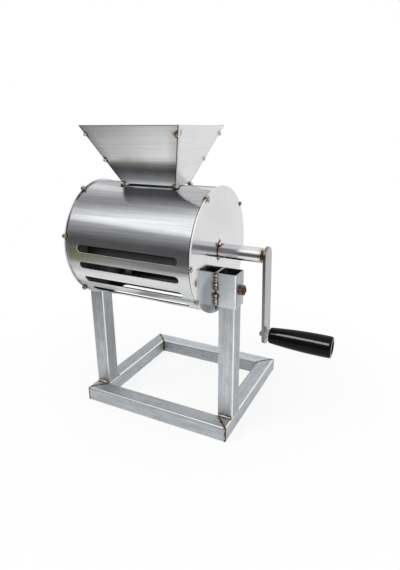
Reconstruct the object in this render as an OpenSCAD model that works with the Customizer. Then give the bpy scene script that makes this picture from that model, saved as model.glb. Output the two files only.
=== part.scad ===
// Hand-cranked peanut sheller: a slotted drum with a hopper, clamped on two posts of a square tube stand.
// Millimetres, +Z up, +X along the drum's axis towards the crank, +Y towards the back.
// The origin is the middle of the front rail's underside, on the floor.

/* [Stand] */
// Outer width of the square tube in the base and the posts
tube_w = 25; // [20:1:30]
// Wall of the square tube
tube_wall = 2; // [1.5:0.1:2.5]
// Outer corner radius of the square tube
tube_round = 3; // [2.6:0.1:4]
// Width of the base over its outer faces
base_w = 250; // [230:1:300]
// Depth of the base over its outer faces
base_d = 225; // [180:1:280]

/* [Sockets] */
// Wall of the square tube sockets that slip over the posts
socket_wall = 2; // [1.5:0.1:2.5]
// Clearance between a post and its socket on each side
socket_slip = 0.5; // [0.3:0.1:0.8]
// Length of a socket
socket_len = 48; // [36:1:60]
// Drop from the drum's axis to the top of a socket
socket_drop = 28; // [24:1:36]
// Depth of a post's end below the top of its socket
post_short = 10; // [4:1:16]

/* [Drum] */
// Outer diameter of the rolled drum
drum_d = 168; // [150:1:180]
// Sheet thickness of the drum
drum_wall = 1.5; // [1:0.1:2]
// Height of the drum's axis above the floor
axis_z = 278; // [250:1:320]
// Thickness of the end plates
plate_t = 2; // [1.5:0.1:3]
// Height of an end plate's rim above the drum
plate_lip = 2; // [1:0.5:4]
// Width of the butt seam where the rolled sheet closes
seam_w = 0.8; // [0.5:0.1:1.5]
// Place of the seam round the drum, from the top towards the front
seam_angle = -62; // [-80:1:-40]

/* [Slots] */
// Width of a discharge slot
slot_w = 11; // [8:0.5:12]
// Sheet left between a slot's end and the end plate
slot_margin = 17.5; // [12:0.5:30]
// Number of slots round the lower half
slot_count = 12; // [8:1:12]
// Angle from the first slot to the last
slots_angle = 184; // [160:1:190]

/* [Hopper] */
// Width of the hopper's mouth along the drum
mouth_w = 146; // [120:1:170]
// Depth of the hopper's mouth across the drum
mouth_d = 128; // [100:1:150]
// Width of the throat along the drum
throat_w = 84; // [60:1:100]
// Depth of the throat across the drum
throat_d = 40; // [30:1:50]
// Height of the hopper over the drum
hopper_h = 75; // [60:1:100]
// Sheet thickness of the hopper
hopper_wall = 1.5; // [1:0.1:2]
// Drum sheet that shows inside the throat at its left and right ends
throat_lip = 1; // [0.5:0.5:3]
// Room between the top of the drum and the hopper, bridged by the beads at its feet
hopper_gap = 0.7; // [0.3:0.1:1]

/* [Bearings] */
// Diameter of the shaft
shaft_d = 12; // [10:0.5:13]
// Outer diameter of the bearing tube
bearing_d = 20; // [19:0.5:24]
// Wall of the bearing tube
bearing_wall = 2; // [1.5:0.1:2.5]
// Length of the bearing tube on the crank side
bearing_len = 60; // [45:1:80]
// Length of the bearing boss on the other side, and of every bush
bush_len = 18; // [12:1:20]
// Radial running clearance of the shaft in its bushes
run_gap = 0.05; // [0.02:0.01:0.1]
// Thickness of the washer on the shaft's free end
washer_t = 2; // [1:0.5:3]
// Diameter of the split pin
pin_d = 3; // [2:0.5:4]
// Shaft that stands out past the split pin
shaft_proud = 5; // [3:0.5:8]

/* [Rotor] */
// Radius from the axis to the inner face of a beater bar
beater_r = 60; // [50:1:64]
// Width of a beater bar
beater_w = 16; // [12:1:20]
// Thickness of a beater bar
beater_t = 5; // [4:0.5:6]
// Room between a beater bar's end and the end plate
beater_room = 20; // [8:0.5:28]
// Distance of each spider from the ends of the beater bars
spider_inset = 13.5; // [10:0.5:45]
// Thickness of a spider's arms
spider_t = 4; // [3:0.5:6]
// Width of a spider's arms
spider_w = 14; // [10:1:16]
// Outer diameter of a spider's hub
hub_d = 24; // [20:0.5:30]
// Length of a spider's hub
hub_len = 14; // [8:1:20]
// Angle of the first beater bar from the top towards the front
rotor_angle = 5; // [0:1:89]

/* [Crank] */
// Distance from the shaft's axis to the grip's axis
crank_throw = 115; // [90:1:130]
// Angle of the resting crank from straight down towards the back
crank_lean = 4; // [0:1:20]
// Width of the flat bar of the crank arm
arm_w = 25; // [20:1:30]
// Thickness of the flat bar
arm_t = 4; // [3:0.5:6]
// Shaft that shows between the bearing tube and the arm
arm_gap = 4.5; // [3.5:0.5:10]
// Leg of the fillet weld that holds the arm on the shaft
arm_weld = 3; // [2:0.5:3]

/* [Grip] */
// Length of the grip
grip_len = 85; // [70:1:110]
// Diameter of the grip next to the arm
grip_d_in = 22; // [18:0.5:26]
// Diameter of the grip at its free end
grip_d_out = 29; // [26:0.5:34]
// How far the grip's side bulges out between its ends
grip_bulge = 1.3; // [0.5:0.1:2]
// Rounding of the grip's edge next to the arm
grip_round_in = 1.5; // [1:0.5:2.5]
// Rounding of the grip's edge at its free end
grip_round_out = 3; // [2:0.5:3.5]
// Diameter of the grip's bolt
grip_bolt_d = 8; // [6:0.5:8]
// Length of the bolt's threaded end beyond the arm
bolt_proud = 6.5; // [3:0.5:12]
// Thickness of the lock nut between arm and grip
lock_nut_t = 4; // [3:0.5:6]
// Depth of the recess that holds the bolt's head
recess_h = 7; // [6:0.5:10]

/* [Clamps] */
// Diameter of the clamp screws
clamp_d = 8; // [6:0.5:8]
// Height of the nuts welded on the sockets
clamp_nut_h = 6.5; // [5:0.5:8]
// Length of a clamp screw beyond its nut
clamp_proud = 1.7; // [1:0.1:4]
// Room between a clamp screw's tip and its post
tip_gap = 0.3; // [0.2:0.1:0.6]

/* [Hidden] */
$fn = 64;

// Width over the flats of the hexagons on the screws and nuts
hex_af = 13;
// Height of the bolt's hexagon head
bolt_head_h = 5.3;
// Angle of the chamfer on nuts and bolt heads
chamfer_angle = 30;
// Gap left at round seats that are welded or pressed
seat_gap = 0.05;
// Radial room of the washer on its shaft and of the split pin in its hole
pin_gap = 0.1;
// Radial room of a clamp screw in the hole through its socket
hole_gap = 0.3;
// Radial room round the shaft in the end plates
plate_gap = 1;
// Radial room round the corners of the bolt's head in its recess
recess_gap = 1.3;
// Gap left between flat sheets that meet at an angle
sheet_gap = 0.1;
// Gap left between pieces that turn past each other
turn_gap = 0.3;
// Extra reach of a cutter past the surface it opens
past = 1;

// Stand
post_x = (base_w - tube_w) / 2;
axis_y = tube_w;
socket_top = axis_z - socket_drop;
socket_z = socket_top - socket_len;
post_h = socket_top - post_short - tube_w;
clamp_z = socket_z + socket_len / 2;

// Sockets and drum
socket_in = tube_w + 2 * socket_slip;
socket_w = socket_in + 2 * socket_wall;
plate_x = post_x - socket_w / 2;
drum_r = drum_d / 2;
plate_r = drum_r + plate_lip;
shell_len = 2 * (plate_x - plate_t);
slot_len = shell_len - 2 * slot_margin;
slot_step = slots_angle / (slot_count - 1);
bottom = 180;

// Hopper
hopper_z = axis_z + drum_r + hopper_gap;
front_tilt = atan((mouth_d - throat_d) / 2 / hopper_h);
side_tilt = atan((mouth_w - throat_w) / 2 / hopper_h);
front_slope = hopper_h / cos(front_tilt);
side_slope = hopper_h / cos(side_tilt);
side_trim = 2 * (hopper_wall / cos(front_tilt) + sheet_gap);

// Rotor
beater_len = shell_len - 2 * beater_room;
spider_x = beater_len / 2 - spider_inset;

// Shaft, crank and grip
shaft_r = shaft_d / 2;
bearing_r = bearing_d / 2;
bush_r = bearing_r - bearing_wall - seat_gap;
tube_end = plate_x + bearing_len;
boss_end = -plate_x - bush_len;
arm_x = tube_end + arm_gap;
grip_x = arm_x + arm_t + lock_nut_t + turn_gap;
crank_y = axis_y + crank_throw * sin(crank_lean);
crank_z = axis_z - crank_throw * cos(crank_lean);
washer_x = boss_end - turn_gap - washer_t;
pin_x = washer_x - turn_gap - pin_d / 2;
shaft_start = pin_x - shaft_proud;

// Weld beads, angles measured from the top towards the front
right_tacks = [28, 92, 126, 190, 250, 308];
left_tacks = [27, 78, 140, 200, 250, 308];
tack_r = 3;
small_tack_r = 2.5;
seam_tacks = [-0.36, -0.12, 0.12, 0.36];
bearing_tack_angles = [21, 145, 262];
stitches = [[1.5, 18], [26, 46.5]];
stitch_r = 2;
foot_bead_r = 2;
foot_bead_len = 18;
corner_tack_r = 2.2;
foot_tack_drop = 1.5;
corner_tack_at = [[0.42, 0.86], [0.86], [0.42, 0.86], [0.42, 0.86]];

GALVANISED = "LightSlateGray";
STAINLESS = "Gainsboro";
BEAD = "Tan";
RUST = "SaddleBrown";
STEEL = "Silver";

// Square with rounded corners, centred
module rounded_square(w, r) {
    square([w - 2 * r, w], center = true);
    square([w, w - 2 * r], center = true);
    for (x = [-1, 1], y = [-1, 1])
        translate([x * (w / 2 - r), y * (w / 2 - r)]) circle(r);
}

// Length of square tube along Z, centred on the axis
module square_tube(w, wall, r, length) {
    inner_r = max(r - wall, 0.5);
    difference() {
        linear_extrude(length) rounded_square(w, r);
        translate([0, 0, -past]) linear_extrude(length + 2 * past) rounded_square(w - 2 * wall, inner_r);
    }
}

// Hexagon bar along Z
module hexagon(af, h) {
    cylinder(d = af / cos(30), h = h, $fn = 6);
}

// Hexagon along Z with its corners chamfered at the far end
module hexagon_head(af, h) {
    intersection() {
        hexagon(af, h);
        cylinder(r1 = af / 2 + h / tan(chamfer_angle), r2 = af / 2, h = h);
    }
}

// Children's Z turned to lie along the drum's axis, starting at x
module along_axis(x) {
    translate([x, axis_y, axis_z]) rotate([0, 90, 0]) children();
}

// Children's Z turned to point out from the drum's axis, from the top towards the front
module radial(angle) {
    translate([0, axis_y, axis_z]) rotate([angle, 0, 0]) children();
}

// Children on the right as drawn, or mirrored to the left
module on_side(side) {
    if (side > 0) children();
    else mirror([1, 0, 0]) children();
}

// Rail of the base along X, its outer edge at -Y, with both ends mitred
module mitred_rail(length) {
    intersection() {
        translate([-length / 2, 0, tube_w / 2]) rotate([0, 90, 0])
            square_tube(tube_w, tube_wall, tube_round, length);
        linear_extrude(tube_w) polygon([
            [-length / 2, -tube_w / 2], [length / 2, -tube_w / 2],
            [length / 2 - tube_w, tube_w / 2], [-length / 2 + tube_w, tube_w / 2]
        ]);
    }
}

module front_rail() {
    color(GALVANISED) mitred_rail(base_w);
}

module rear_rail() {
    color(GALVANISED) translate([0, base_d - tube_w, 0]) rotate([0, 0, 180]) mitred_rail(base_w);
}

module side_rail(side) {
    color(GALVANISED) on_side(side)
        translate([post_x, (base_d - tube_w) / 2, 0]) rotate([0, 0, 90]) mitred_rail(base_d);
}

module post(side) {
    color(GALVANISED) translate([side * post_x, axis_y, tube_w])
        square_tube(tube_w, tube_wall, tube_round, post_h);
}

// Beads across the front and the back of each post's foot
module post_welds() {
    color(BEAD) for (side = [-1, 1], face = [-1, 1])
        difference() {
            translate([side * post_x - foot_bead_len / 2, axis_y + face * tube_w / 2, tube_w])
                rotate([0, 90, 0]) cylinder(r = foot_bead_r, h = foot_bead_len);
            translate([side * post_x, axis_y, tube_w / 2]) cube([2 * tube_w, 2 * tube_w, tube_w], center = true);
            translate([side * post_x, axis_y, post_h / 2]) cube([tube_w, tube_w, post_h], center = true);
        }
}

// Opening with round ends through the drum's wall, pointing up from the axis
module slot_cutter() {
    reach = slot_len - slot_w;
    translate([0, 0, drum_r / 2]) linear_extrude(drum_r) {
        square([reach, slot_w], center = true);
        for (end = [-1, 1]) translate([end * reach / 2, 0]) circle(d = slot_w);
    }
}

// Narrow cut through the drum's wall over its whole length
module seam_cutter() {
    cube([shell_len + 2 * past, seam_w, 2 * (drum_wall + past)], center = true);
}

// Sheet under the throat is cut back to the outer faces of the hopper's front and rear sheets
module drum_shell() {
    feed_w = throat_w - 2 * (hopper_wall / cos(side_tilt) + throat_lip);
    color(STAINLESS) difference() {
        along_axis(-shell_len / 2) difference() {
            cylinder(r = drum_r, h = shell_len);
            translate([0, 0, -past]) cylinder(r = drum_r - drum_wall, h = shell_len + 2 * past);
        }
        for (i = [0 : slot_count - 1])
            radial(bottom + (i - (slot_count - 1) / 2) * slot_step) slot_cutter();
        radial(0) translate([0, 0, drum_r]) cube([feed_w, throat_d, drum_r], center = true);
        radial(seam_angle) translate([0, 0, drum_r]) seam_cutter();
    }
}

module end_plate(side) {
    color(STAINLESS) on_side(side) along_axis(plate_x - plate_t) difference() {
        cylinder(r = plate_r, h = plate_t);
        translate([0, 0, -past]) cylinder(r = shaft_r + plate_gap, h = plate_t + 2 * past);
    }
}

// Bead in the frame of radial(), cut flat where it lies on the drum and round the rim of a plate
module rim_tack() {
    reach = 2 * tack_r;
    difference() {
        translate([plate_x - plate_t / 2, 0, plate_r]) sphere(tack_r);
        translate([plate_x - plate_t, -reach, plate_r - reach]) cube([plate_t, 2 * reach, reach]);
        translate([plate_x - plate_t - reach, -reach, drum_r - reach]) cube([reach, 2 * reach, reach]);
    }
}

// Half bead in the frame of radial(), lying on a round surface
module surface_tack(x, surface_r, r) {
    difference() {
        translate([x, 0, surface_r]) sphere(r);
        translate([x - 2 * r, -2 * r, surface_r - 2 * r]) cube([4 * r, 4 * r, 2 * r]);
    }
}

// Beads over the plates' rims, and along the drum's seam
module drum_tacks() {
    color(BEAD) {
        for (angle = right_tacks) on_side(1) radial(angle) rim_tack();
        for (angle = left_tacks) on_side(-1) radial(angle) rim_tack();
        for (place = seam_tacks)
            radial(seam_angle) surface_tack(place * shell_len, drum_r, small_tack_r);
    }
}

module socket(side) {
    color(GALVANISED) on_side(side) difference() {
        translate([post_x, axis_y, socket_z]) square_tube(socket_w, socket_wall, tube_round, socket_len);
        translate([post_x, axis_y, clamp_z]) rotate([0, 90, 0])
            cylinder(r = clamp_d / 2 + hole_gap, h = socket_w);
    }
}

// Stitches down both corners between a socket and its end plate
module socket_welds(side) {
    color(BEAD) on_side(side) for (edge = [-1, 1], stitch = stitches)
        difference() {
            translate([plate_x, axis_y + edge * socket_w / 2, socket_z + stitch[0]])
                cylinder(r = stitch_r, h = stitch[1] - stitch[0]);
            translate([post_x, axis_y, socket_z])
                linear_extrude(socket_len) rounded_square(socket_w, tube_round);
            along_axis(0) cylinder(r = plate_r, h = plate_x);
        }
}

module clamp_nut(side) {
    color(RUST) on_side(side)
        translate([post_x + socket_w / 2, axis_y, clamp_z]) rotate([0, 90, 0]) difference() {
            hexagon_head(hex_af, clamp_nut_h);
            translate([0, 0, -past]) cylinder(r = clamp_d / 2 + run_gap, h = clamp_nut_h + 2 * past);
        }
}

// Headless screw with a hexagon socket, its tip just off the post
module clamp_screw(side) {
    tip_x = post_x + tube_w / 2 + tip_gap;
    end_x = post_x + socket_w / 2 + clamp_nut_h + clamp_proud;
    color(RUST) on_side(side) translate([tip_x, axis_y, clamp_z]) rotate([0, 90, 0]) difference() {
        cylinder(d = clamp_d, h = end_x - tip_x);
        translate([0, 0, end_x - tip_x - clamp_d / 2]) hexagon(clamp_d / 2, clamp_d);
    }
}

module bearing_sleeve(length) {
    difference() {
        cylinder(r = bearing_r, h = length);
        translate([0, 0, -past]) cylinder(r = bearing_r - bearing_wall, h = length + 2 * past);
    }
}

module bearing_tube() {
    color(STEEL) along_axis(plate_x) bearing_sleeve(bearing_len);
}

module bearing_boss() {
    color(STEEL) along_axis(boss_end) bearing_sleeve(bush_len);
}

// Three beads round the foot of each bearing sleeve
module bearing_tacks() {
    r = small_tack_r;
    color(BEAD) for (side = [-1, 1], angle = bearing_tack_angles)
        on_side(side) radial(angle) difference() {
            surface_tack(plate_x, bearing_r, r);
            translate([plate_x - 2 * r, -2 * r, bearing_r - 2 * r]) cube([2 * r, 4 * r, 4 * r]);
        }
}

module bush(x) {
    color("DarkGoldenrod") along_axis(x) difference() {
        cylinder(r = bush_r, h = bush_len);
        translate([0, 0, -past]) cylinder(r = shaft_r + run_gap, h = bush_len + 2 * past);
    }
}

// Flat trapezoid of sheet that leans out over +Z, its outer face through the throat's edge
module hopper_sheet(turn, bottom_w, top_w, half_depth, tilt, slope) {
    translate([0, axis_y, hopper_z]) rotate([0, 0, turn])
        translate([0, -half_depth, 0]) rotate([90 + tilt, 0, 0])
        translate([0, 0, -hopper_wall]) linear_extrude(hopper_wall)
            polygon([[-bottom_w / 2, 0], [bottom_w / 2, 0], [top_w / 2, slope], [-top_w / 2, slope]]);
}

// Front and rear sheets span the full width
module hopper_face(turn) {
    color(STAINLESS) hopper_sheet(turn, throat_w, mouth_w, throat_d / 2, front_tilt, front_slope);
}

// Left and right sheets fit between them
module hopper_side(turn) {
    color(STAINLESS)
        hopper_sheet(turn, throat_d - side_trim, mouth_d - side_trim, throat_w / 2, side_tilt, side_slope);
}

// Beads down the hopper's corners, and at its feet where they bridge the gap to the round drum
module hopper_tacks() {
    corners = [[-1, -1], [1, -1], [1, 1], [-1, 1]];
    color(BEAD) difference() {
        translate([0, axis_y, hopper_z]) for (i = [0 : 3]) {
            throat_corner = [corners[i][0] * throat_w / 2, corners[i][1] * throat_d / 2, 0];
            mouth_corner = [corners[i][0] * mouth_w / 2, corners[i][1] * mouth_d / 2, hopper_h];
            translate(throat_corner - [0, 0, foot_tack_drop]) sphere(tack_r);
            for (share = corner_tack_at[i])
                translate(throat_corner * (1 - share) + mouth_corner * share) sphere(corner_tack_r);
        }
        hopper_face(0);
        hopper_face(180);
        hopper_side(90);
        hopper_side(-90);
        along_axis(-shell_len / 2) cylinder(r = drum_r + seat_gap, h = shell_len);
    }
}

module shaft() {
    color(STEEL) difference() {
        along_axis(shaft_start) cylinder(r = shaft_r, h = arm_x - shaft_start);
        translate([pin_x, axis_y, axis_z - shaft_d]) cylinder(r = pin_d / 2 + pin_gap, h = 2 * shaft_d);
    }
}

// Hub with four arms that carry the beater bars
module spider(side) {
    color(STEEL) along_axis(side * spider_x) difference() {
        union() {
            translate([0, 0, -hub_len / 2]) cylinder(d = hub_d, h = hub_len);
            for (turn = [0, 90])
                rotate([0, 0, rotor_angle + turn]) cube([2 * beater_r, spider_w, spider_t], center = true);
        }
        translate([0, 0, -hub_len]) cylinder(r = shaft_r + seat_gap, h = 2 * hub_len);
    }
}

// Flat bar with round edges, welded across the ends of two arms
module beater(number) {
    color(STEEL) along_axis(-beater_len / 2) rotate([0, 0, rotor_angle + 90 * (number - 1)])
        translate([-beater_r - beater_t / 2, 0, 0]) linear_extrude(beater_len) {
            square([beater_t, beater_w - beater_t], center = true);
            for (edge = [-1, 1]) translate([0, edge * (beater_w - beater_t) / 2]) circle(d = beater_t);
        }
}

module shaft_washer() {
    color(STEEL) along_axis(washer_x) difference() {
        cylinder(d = 2 * shaft_d, h = washer_t);
        translate([0, 0, -past]) cylinder(r = shaft_r + pin_gap, h = washer_t + 2 * past);
    }
}

// Split pin through the shaft's end, its eye on top
module split_pin() {
    leg = 2 * shaft_d;
    color(STEEL) translate([pin_x, axis_y, axis_z]) {
        translate([0, 0, -leg / 2]) cylinder(d = pin_d, h = leg);
        translate([0, 0, leg / 2 + pin_d]) rotate([0, 90, 0]) rotate_extrude()
            translate([pin_d, 0]) circle(d = pin_d / 2);
    }
}

// Flat bar with round ends from the shaft down to the grip's bolt
module crank_arm() {
    color(STEEL) along_axis(arm_x) rotate([0, 0, crank_lean]) difference() {
        union() {
            translate([0, -arm_w / 2, 0]) cube([crank_throw, arm_w, arm_t]);
            for (x = [0, crank_throw]) translate([x, 0, 0]) cylinder(d = arm_w, h = arm_t);
        }
        translate([crank_throw, 0, -past]) cylinder(r = grip_bolt_d / 2 + seat_gap, h = arm_t + 2 * past);
    }
}

// Fillet ring between the shaft's end and the inner face of the arm
module crank_weld() {
    inner = shaft_r + seat_gap;
    color(BEAD) along_axis(arm_x - arm_weld) rotate_extrude()
        polygon([[inner, 0], [inner + arm_weld, arm_weld], [inner, arm_weld]]);
}

// Children's Z turned to lie along the grip's axis, starting at x
module along_grip(x) {
    translate([x, crank_y, crank_z]) rotate([0, 90, 0]) children();
}

module grip_bolt() {
    head_x = grip_x + grip_len - recess_h + turn_gap;
    end_x = arm_x - bolt_proud;
    color(STEEL) {
        along_grip(end_x) cylinder(d = grip_bolt_d, h = head_x - end_x);
        along_grip(head_x) hexagon_head(hex_af, bolt_head_h);
    }
}

module lock_nut() {
    color(STEEL) along_grip(arm_x + arm_t) difference() {
        hexagon_head(hex_af, lock_nut_t);
        translate([0, 0, -past]) cylinder(r = grip_bolt_d / 2 + seat_gap, h = lock_nut_t + 2 * past);
    }
}

// Points of a round edge about a centre, from one angle to another
function round_edge(centre, r, from, to, steps = 6) = [
    for (i = [0 : steps]) let (angle = from + (to - from) * i / steps)
        centre + r * [cos(angle), sin(angle)]
];

// Points down the side of the grip, which widens towards its free end and bulges out
function grip_side(low, high, steps = 8) = [
    for (i = [1 : steps - 1]) let (share = i / steps)
        low * (1 - share) + high * share + [4 * grip_bulge * share * (1 - share), 0]
];

// Tapered grip with round edges, bored for its bolt and recessed for the head
module grip() {
    bore_r = grip_bolt_d / 2 + run_gap;
    recess_r = hex_af / 2 / cos(30) + recess_gap;
    inner_r = grip_d_in / 2;
    outer_r = grip_d_out / 2;
    outer_z = grip_len - grip_round_out;
    profile = concat(
        [[bore_r, 0]],
        round_edge([inner_r - grip_round_in, grip_round_in], grip_round_in, -90, 0),
        grip_side([inner_r, grip_round_in], [outer_r, outer_z]),
        round_edge([outer_r - grip_round_out, outer_z], grip_round_out, 0, 90),
        [[recess_r, grip_len], [recess_r, grip_len - recess_h], [bore_r, grip_len - recess_h]]
    );
    color("#1c1c1e") along_grip(grip_x) rotate_extrude() polygon(profile);
}

front_rail();
rear_rail();
side_rail(-1);  // left_rail
side_rail(1);  // right_rail
post(-1);  // left_post
post(1);  // right_post
post_welds();
drum_shell();
end_plate(-1);  // left_end_plate
end_plate(1);  // right_end_plate
drum_tacks();
socket(-1);  // left_socket
socket(1);  // right_socket
socket_welds(-1);  // left_socket_welds
socket_welds(1);  // right_socket_welds
clamp_nut(-1);  // left_clamp_nut
clamp_nut(1);  // right_clamp_nut
clamp_screw(-1);  // left_clamp_screw
clamp_screw(1);  // right_clamp_screw
bearing_tube();
bearing_boss();
bearing_tacks();
bush(tube_end - bush_len);  // crank_end_bush
bush(plate_x);  // drum_end_bush
bush(boss_end);  // left_bush
hopper_face(0);  // hopper_front
hopper_face(180);  // hopper_rear
hopper_side(-90);  // hopper_left
hopper_side(90);  // hopper_right
hopper_tacks();
shaft();
spider(-1);  // left_spider
spider(1);  // right_spider
beater(1);  // beater_1
beater(2);  // beater_2
beater(3);  // beater_3
beater(4);  // beater_4
shaft_washer();
split_pin();
crank_arm();
crank_weld();
grip_bolt();
lock_nut();
grip();
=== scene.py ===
# %% [markdown]
# A hand-cranked peanut sheller, dressed for its portrait. The model comes in as a fixed frame:
# every sheet, tube, bolt and bead already has its true size and place in metres, with +Z up and +Y
# towards the back. This lesson leaves those shapes alone. It adds what they lack: a studio,
# finishes for each metal, the crusty surface of the welds and the threads of the bolts.

import math

import bmesh
import bpy
from mathutils import Matrix, Vector, noise


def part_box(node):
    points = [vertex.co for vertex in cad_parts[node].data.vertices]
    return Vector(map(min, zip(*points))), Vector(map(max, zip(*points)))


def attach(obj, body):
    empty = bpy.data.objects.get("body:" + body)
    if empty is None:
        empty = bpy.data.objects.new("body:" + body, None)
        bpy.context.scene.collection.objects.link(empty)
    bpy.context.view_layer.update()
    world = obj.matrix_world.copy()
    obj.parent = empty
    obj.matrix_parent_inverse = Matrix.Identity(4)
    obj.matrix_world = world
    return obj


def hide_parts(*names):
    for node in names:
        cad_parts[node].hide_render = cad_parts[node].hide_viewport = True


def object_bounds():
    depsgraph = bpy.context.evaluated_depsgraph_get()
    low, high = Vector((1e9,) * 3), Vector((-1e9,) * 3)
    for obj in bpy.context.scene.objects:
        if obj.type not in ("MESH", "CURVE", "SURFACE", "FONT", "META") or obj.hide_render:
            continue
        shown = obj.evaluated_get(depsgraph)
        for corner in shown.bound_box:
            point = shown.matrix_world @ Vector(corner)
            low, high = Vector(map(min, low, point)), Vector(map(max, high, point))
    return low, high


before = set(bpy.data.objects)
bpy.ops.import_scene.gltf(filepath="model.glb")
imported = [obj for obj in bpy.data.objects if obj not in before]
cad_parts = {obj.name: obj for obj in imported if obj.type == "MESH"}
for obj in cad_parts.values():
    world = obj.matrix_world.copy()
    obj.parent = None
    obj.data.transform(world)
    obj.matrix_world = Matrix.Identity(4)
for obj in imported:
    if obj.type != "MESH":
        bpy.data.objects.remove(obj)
cad_low, cad_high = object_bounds()
print("pieces in the frame:", len(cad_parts), "box in metres:", cad_low[:], cad_high[:])


# %% [markdown]
# The camera. A product photograph is taken from a little above the machine and a little to its
# right, close enough for the tubes to converge. The focal length is in pixels of the picture, as a
# fit to a photograph gives it, and is turned into millimetres for the lens. The tiny shifts move
# the picture sideways and up without turning the camera, so the uprights keep their lean.

# %% Set up the camera
PICTURE_TALL = 570
FOCAL_LENGTH_IN_PIXELS = 440.055
SENSOR_MM = 36.0
CAMERA_PLACE = (0.3329, -0.4995, 0.4356)
TILT_DOWN, TURN_LEFT = 0.323854, 0.448562
SHIFT_SIDEWAYS, SHIFT_UP = -0.01578, -0.01739

camera_data = bpy.data.cameras.new("portrait_camera")
camera_data.sensor_width = SENSOR_MM
camera_data.lens = FOCAL_LENGTH_IN_PIXELS * SENSOR_MM / PICTURE_TALL
camera_data.shift_x = SHIFT_SIDEWAYS
camera_data.shift_y = SHIFT_UP
camera_data.clip_start = 0.01
camera = bpy.data.objects.new("portrait_camera", camera_data)
camera.location = CAMERA_PLACE
camera.rotation_euler = (math.pi / 2 - TILT_DOWN, 0, TURN_LEFT)
bpy.context.collection.objects.link(camera)
bpy.context.scene.camera = camera
print("lens in mm:", round(camera_data.lens, 2))


# %% [markdown]
# Materials here are small networks of nodes. Writing each node out takes three or four lines, so
# one helper does it: it makes a node, sets its options, and gives every input either a plain value
# or a wire from another node. The nodes that are needed most get a short name of their own. The
# recipes below then read almost like the network looks on screen.

# %% A helper that adds one wired node
def wire(tree, kind, sockets, **options):
    """Adds a shader node. sockets maps input names or numbers to values or other outputs."""
    node = tree.nodes.new("ShaderNode" + kind)
    for option, value in options.items():
        setattr(node, option, value)
    for key, value in sockets.items():
        if isinstance(value, bpy.types.NodeSocket):
            tree.links.new(value, node.inputs[key])
        else:
            node.inputs[key].default_value = value
    return node


print("node helper ready:", wire.__name__)


# %% Short names for mixing and masks
MIX_FACTOR, MIX_FIRST, MIX_SECOND, MIX_RESULT = 0, 6, 7, 2


def arithmetic(tree, way, first, second):
    """One sum on two values."""
    return wire(tree, "Math", {0: first, 1: second}, operation=way).outputs["Value"]


def blend_colours(tree, factor, first, second, way="MIX"):
    """The colour between first and second, as the factor says."""
    sockets = {MIX_FACTOR: factor, MIX_FIRST: first, MIX_SECOND: second}
    mixer = wire(tree, "Mix", sockets, data_type="RGBA", blend_type=way)
    return mixer.outputs[MIX_RESULT]


def ramp_of(tree, value, stops):
    """A colour ramp node through (position, colour) stops."""
    ramp = wire(tree, "ValToRGB", {"Fac": value})
    elements = ramp.color_ramp.elements
    while len(elements) < len(stops):
        elements.new(0.5)
    for element, (position, colour) in zip(elements, stops):
        element.position = position
        element.color = (*colour, 1)
    return ramp.outputs["Color"]


def rescale(tree, value, low, high, new_low, new_high):
    """Stretches value from low..high to new_low..new_high, and stops at both ends."""
    sockets = {"Value": value, "From Min": low, "From Max": high}
    sockets.update({"To Min": new_low, "To Max": new_high})
    return wire(tree, "MapRange", sockets).outputs["Result"]


def overlap(tree, first, second):
    """1 only where both masks are 1."""
    return arithmetic(tree, "MULTIPLY", first, second)


def either(tree, first, second):
    """1 where one of two masks is 1."""
    return arithmetic(tree, "MAXIMUM", first, second)


print("masks ready, from", rescale.__name__, "to", either.__name__)


# %% Short names for sums
def unsigned(tree, value):
    """A value without its sign."""
    return wire(tree, "Math", {0: value}, operation="ABSOLUTE").outputs["Value"]


def combine(tree, way, first, second):
    """One sum on two places or directions."""
    return wire(tree, "VectorMath", {0: first, 1: second}, operation=way).outputs["Vector"]


def length_of(tree, arrow):
    """How long an arrow is."""
    return wire(tree, "VectorMath", {0: arrow}, operation="LENGTH").outputs["Value"]


def distance_between(tree, place, other):
    """How far two places lie apart."""
    return wire(tree, "VectorMath", {0: place, 1: other}, operation="DISTANCE").outputs["Value"]


def likeness(tree, direction, other):
    """1 where two directions are the same, 0 where they are square to each other."""
    both = {0: direction, 1: other}
    return wire(tree, "VectorMath", both, operation="DOT_PRODUCT").outputs["Value"]


print("sums ready, from", unsigned.__name__, "to", likeness.__name__)


# %% Short names for places, noise and relief
def parts_of(tree, arrow):
    """The X, Y and Z of a place or a direction."""
    return wire(tree, "SeparateXYZ", {0: arrow}).outputs


def place_on(tree):
    """The place in the frame, in metres, that is being coloured."""
    return wire(tree, "TexCoord", {}).outputs["Object"]


def normal_on(tree):
    """The direction that the face there looks in."""
    return wire(tree, "TexCoord", {}).outputs["Normal"]


def cloudy(tree, place, scale, detail):
    """Soft noise between 0 and 1."""
    sockets = {"Vector": place, "Scale": scale, "Detail": detail}
    return wire(tree, "TexNoise", sockets).outputs["Fac"]


def emboss(tree, shader, height, strength, depth):
    """Lets a height show as relief, depth metres deep."""
    bump = wire(tree, "Bump", {"Height": height, "Strength": strength, "Distance": depth})
    tree.links.new(bump.outputs["Normal"], shader.inputs["Normal"])


def start_finish(name, metallic=1.0):
    """A new material, with its tree, its shader and the place being coloured."""
    finish = bpy.data.materials.new(name)
    finish.use_nodes = True
    tree = finish.node_tree
    shader = tree.nodes["Principled BSDF"]
    shader.inputs["Metallic"].default_value = metallic
    return finish, tree, shader, place_on(tree)


print("finishes begin with", start_finish.__name__)


# %% [markdown]
# The floor and the background. Small machines are photographed on a white sheet that runs up behind
# them. A lit sheet is never quite white in a render, and lighting it harder would burn out the
# metal. So the floor stays a pale matt sheet near the machine, where the soft shadow falls, and
# fades to pure white further out, but only for rays that come from the camera or bounce off
# something shiny.

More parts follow.
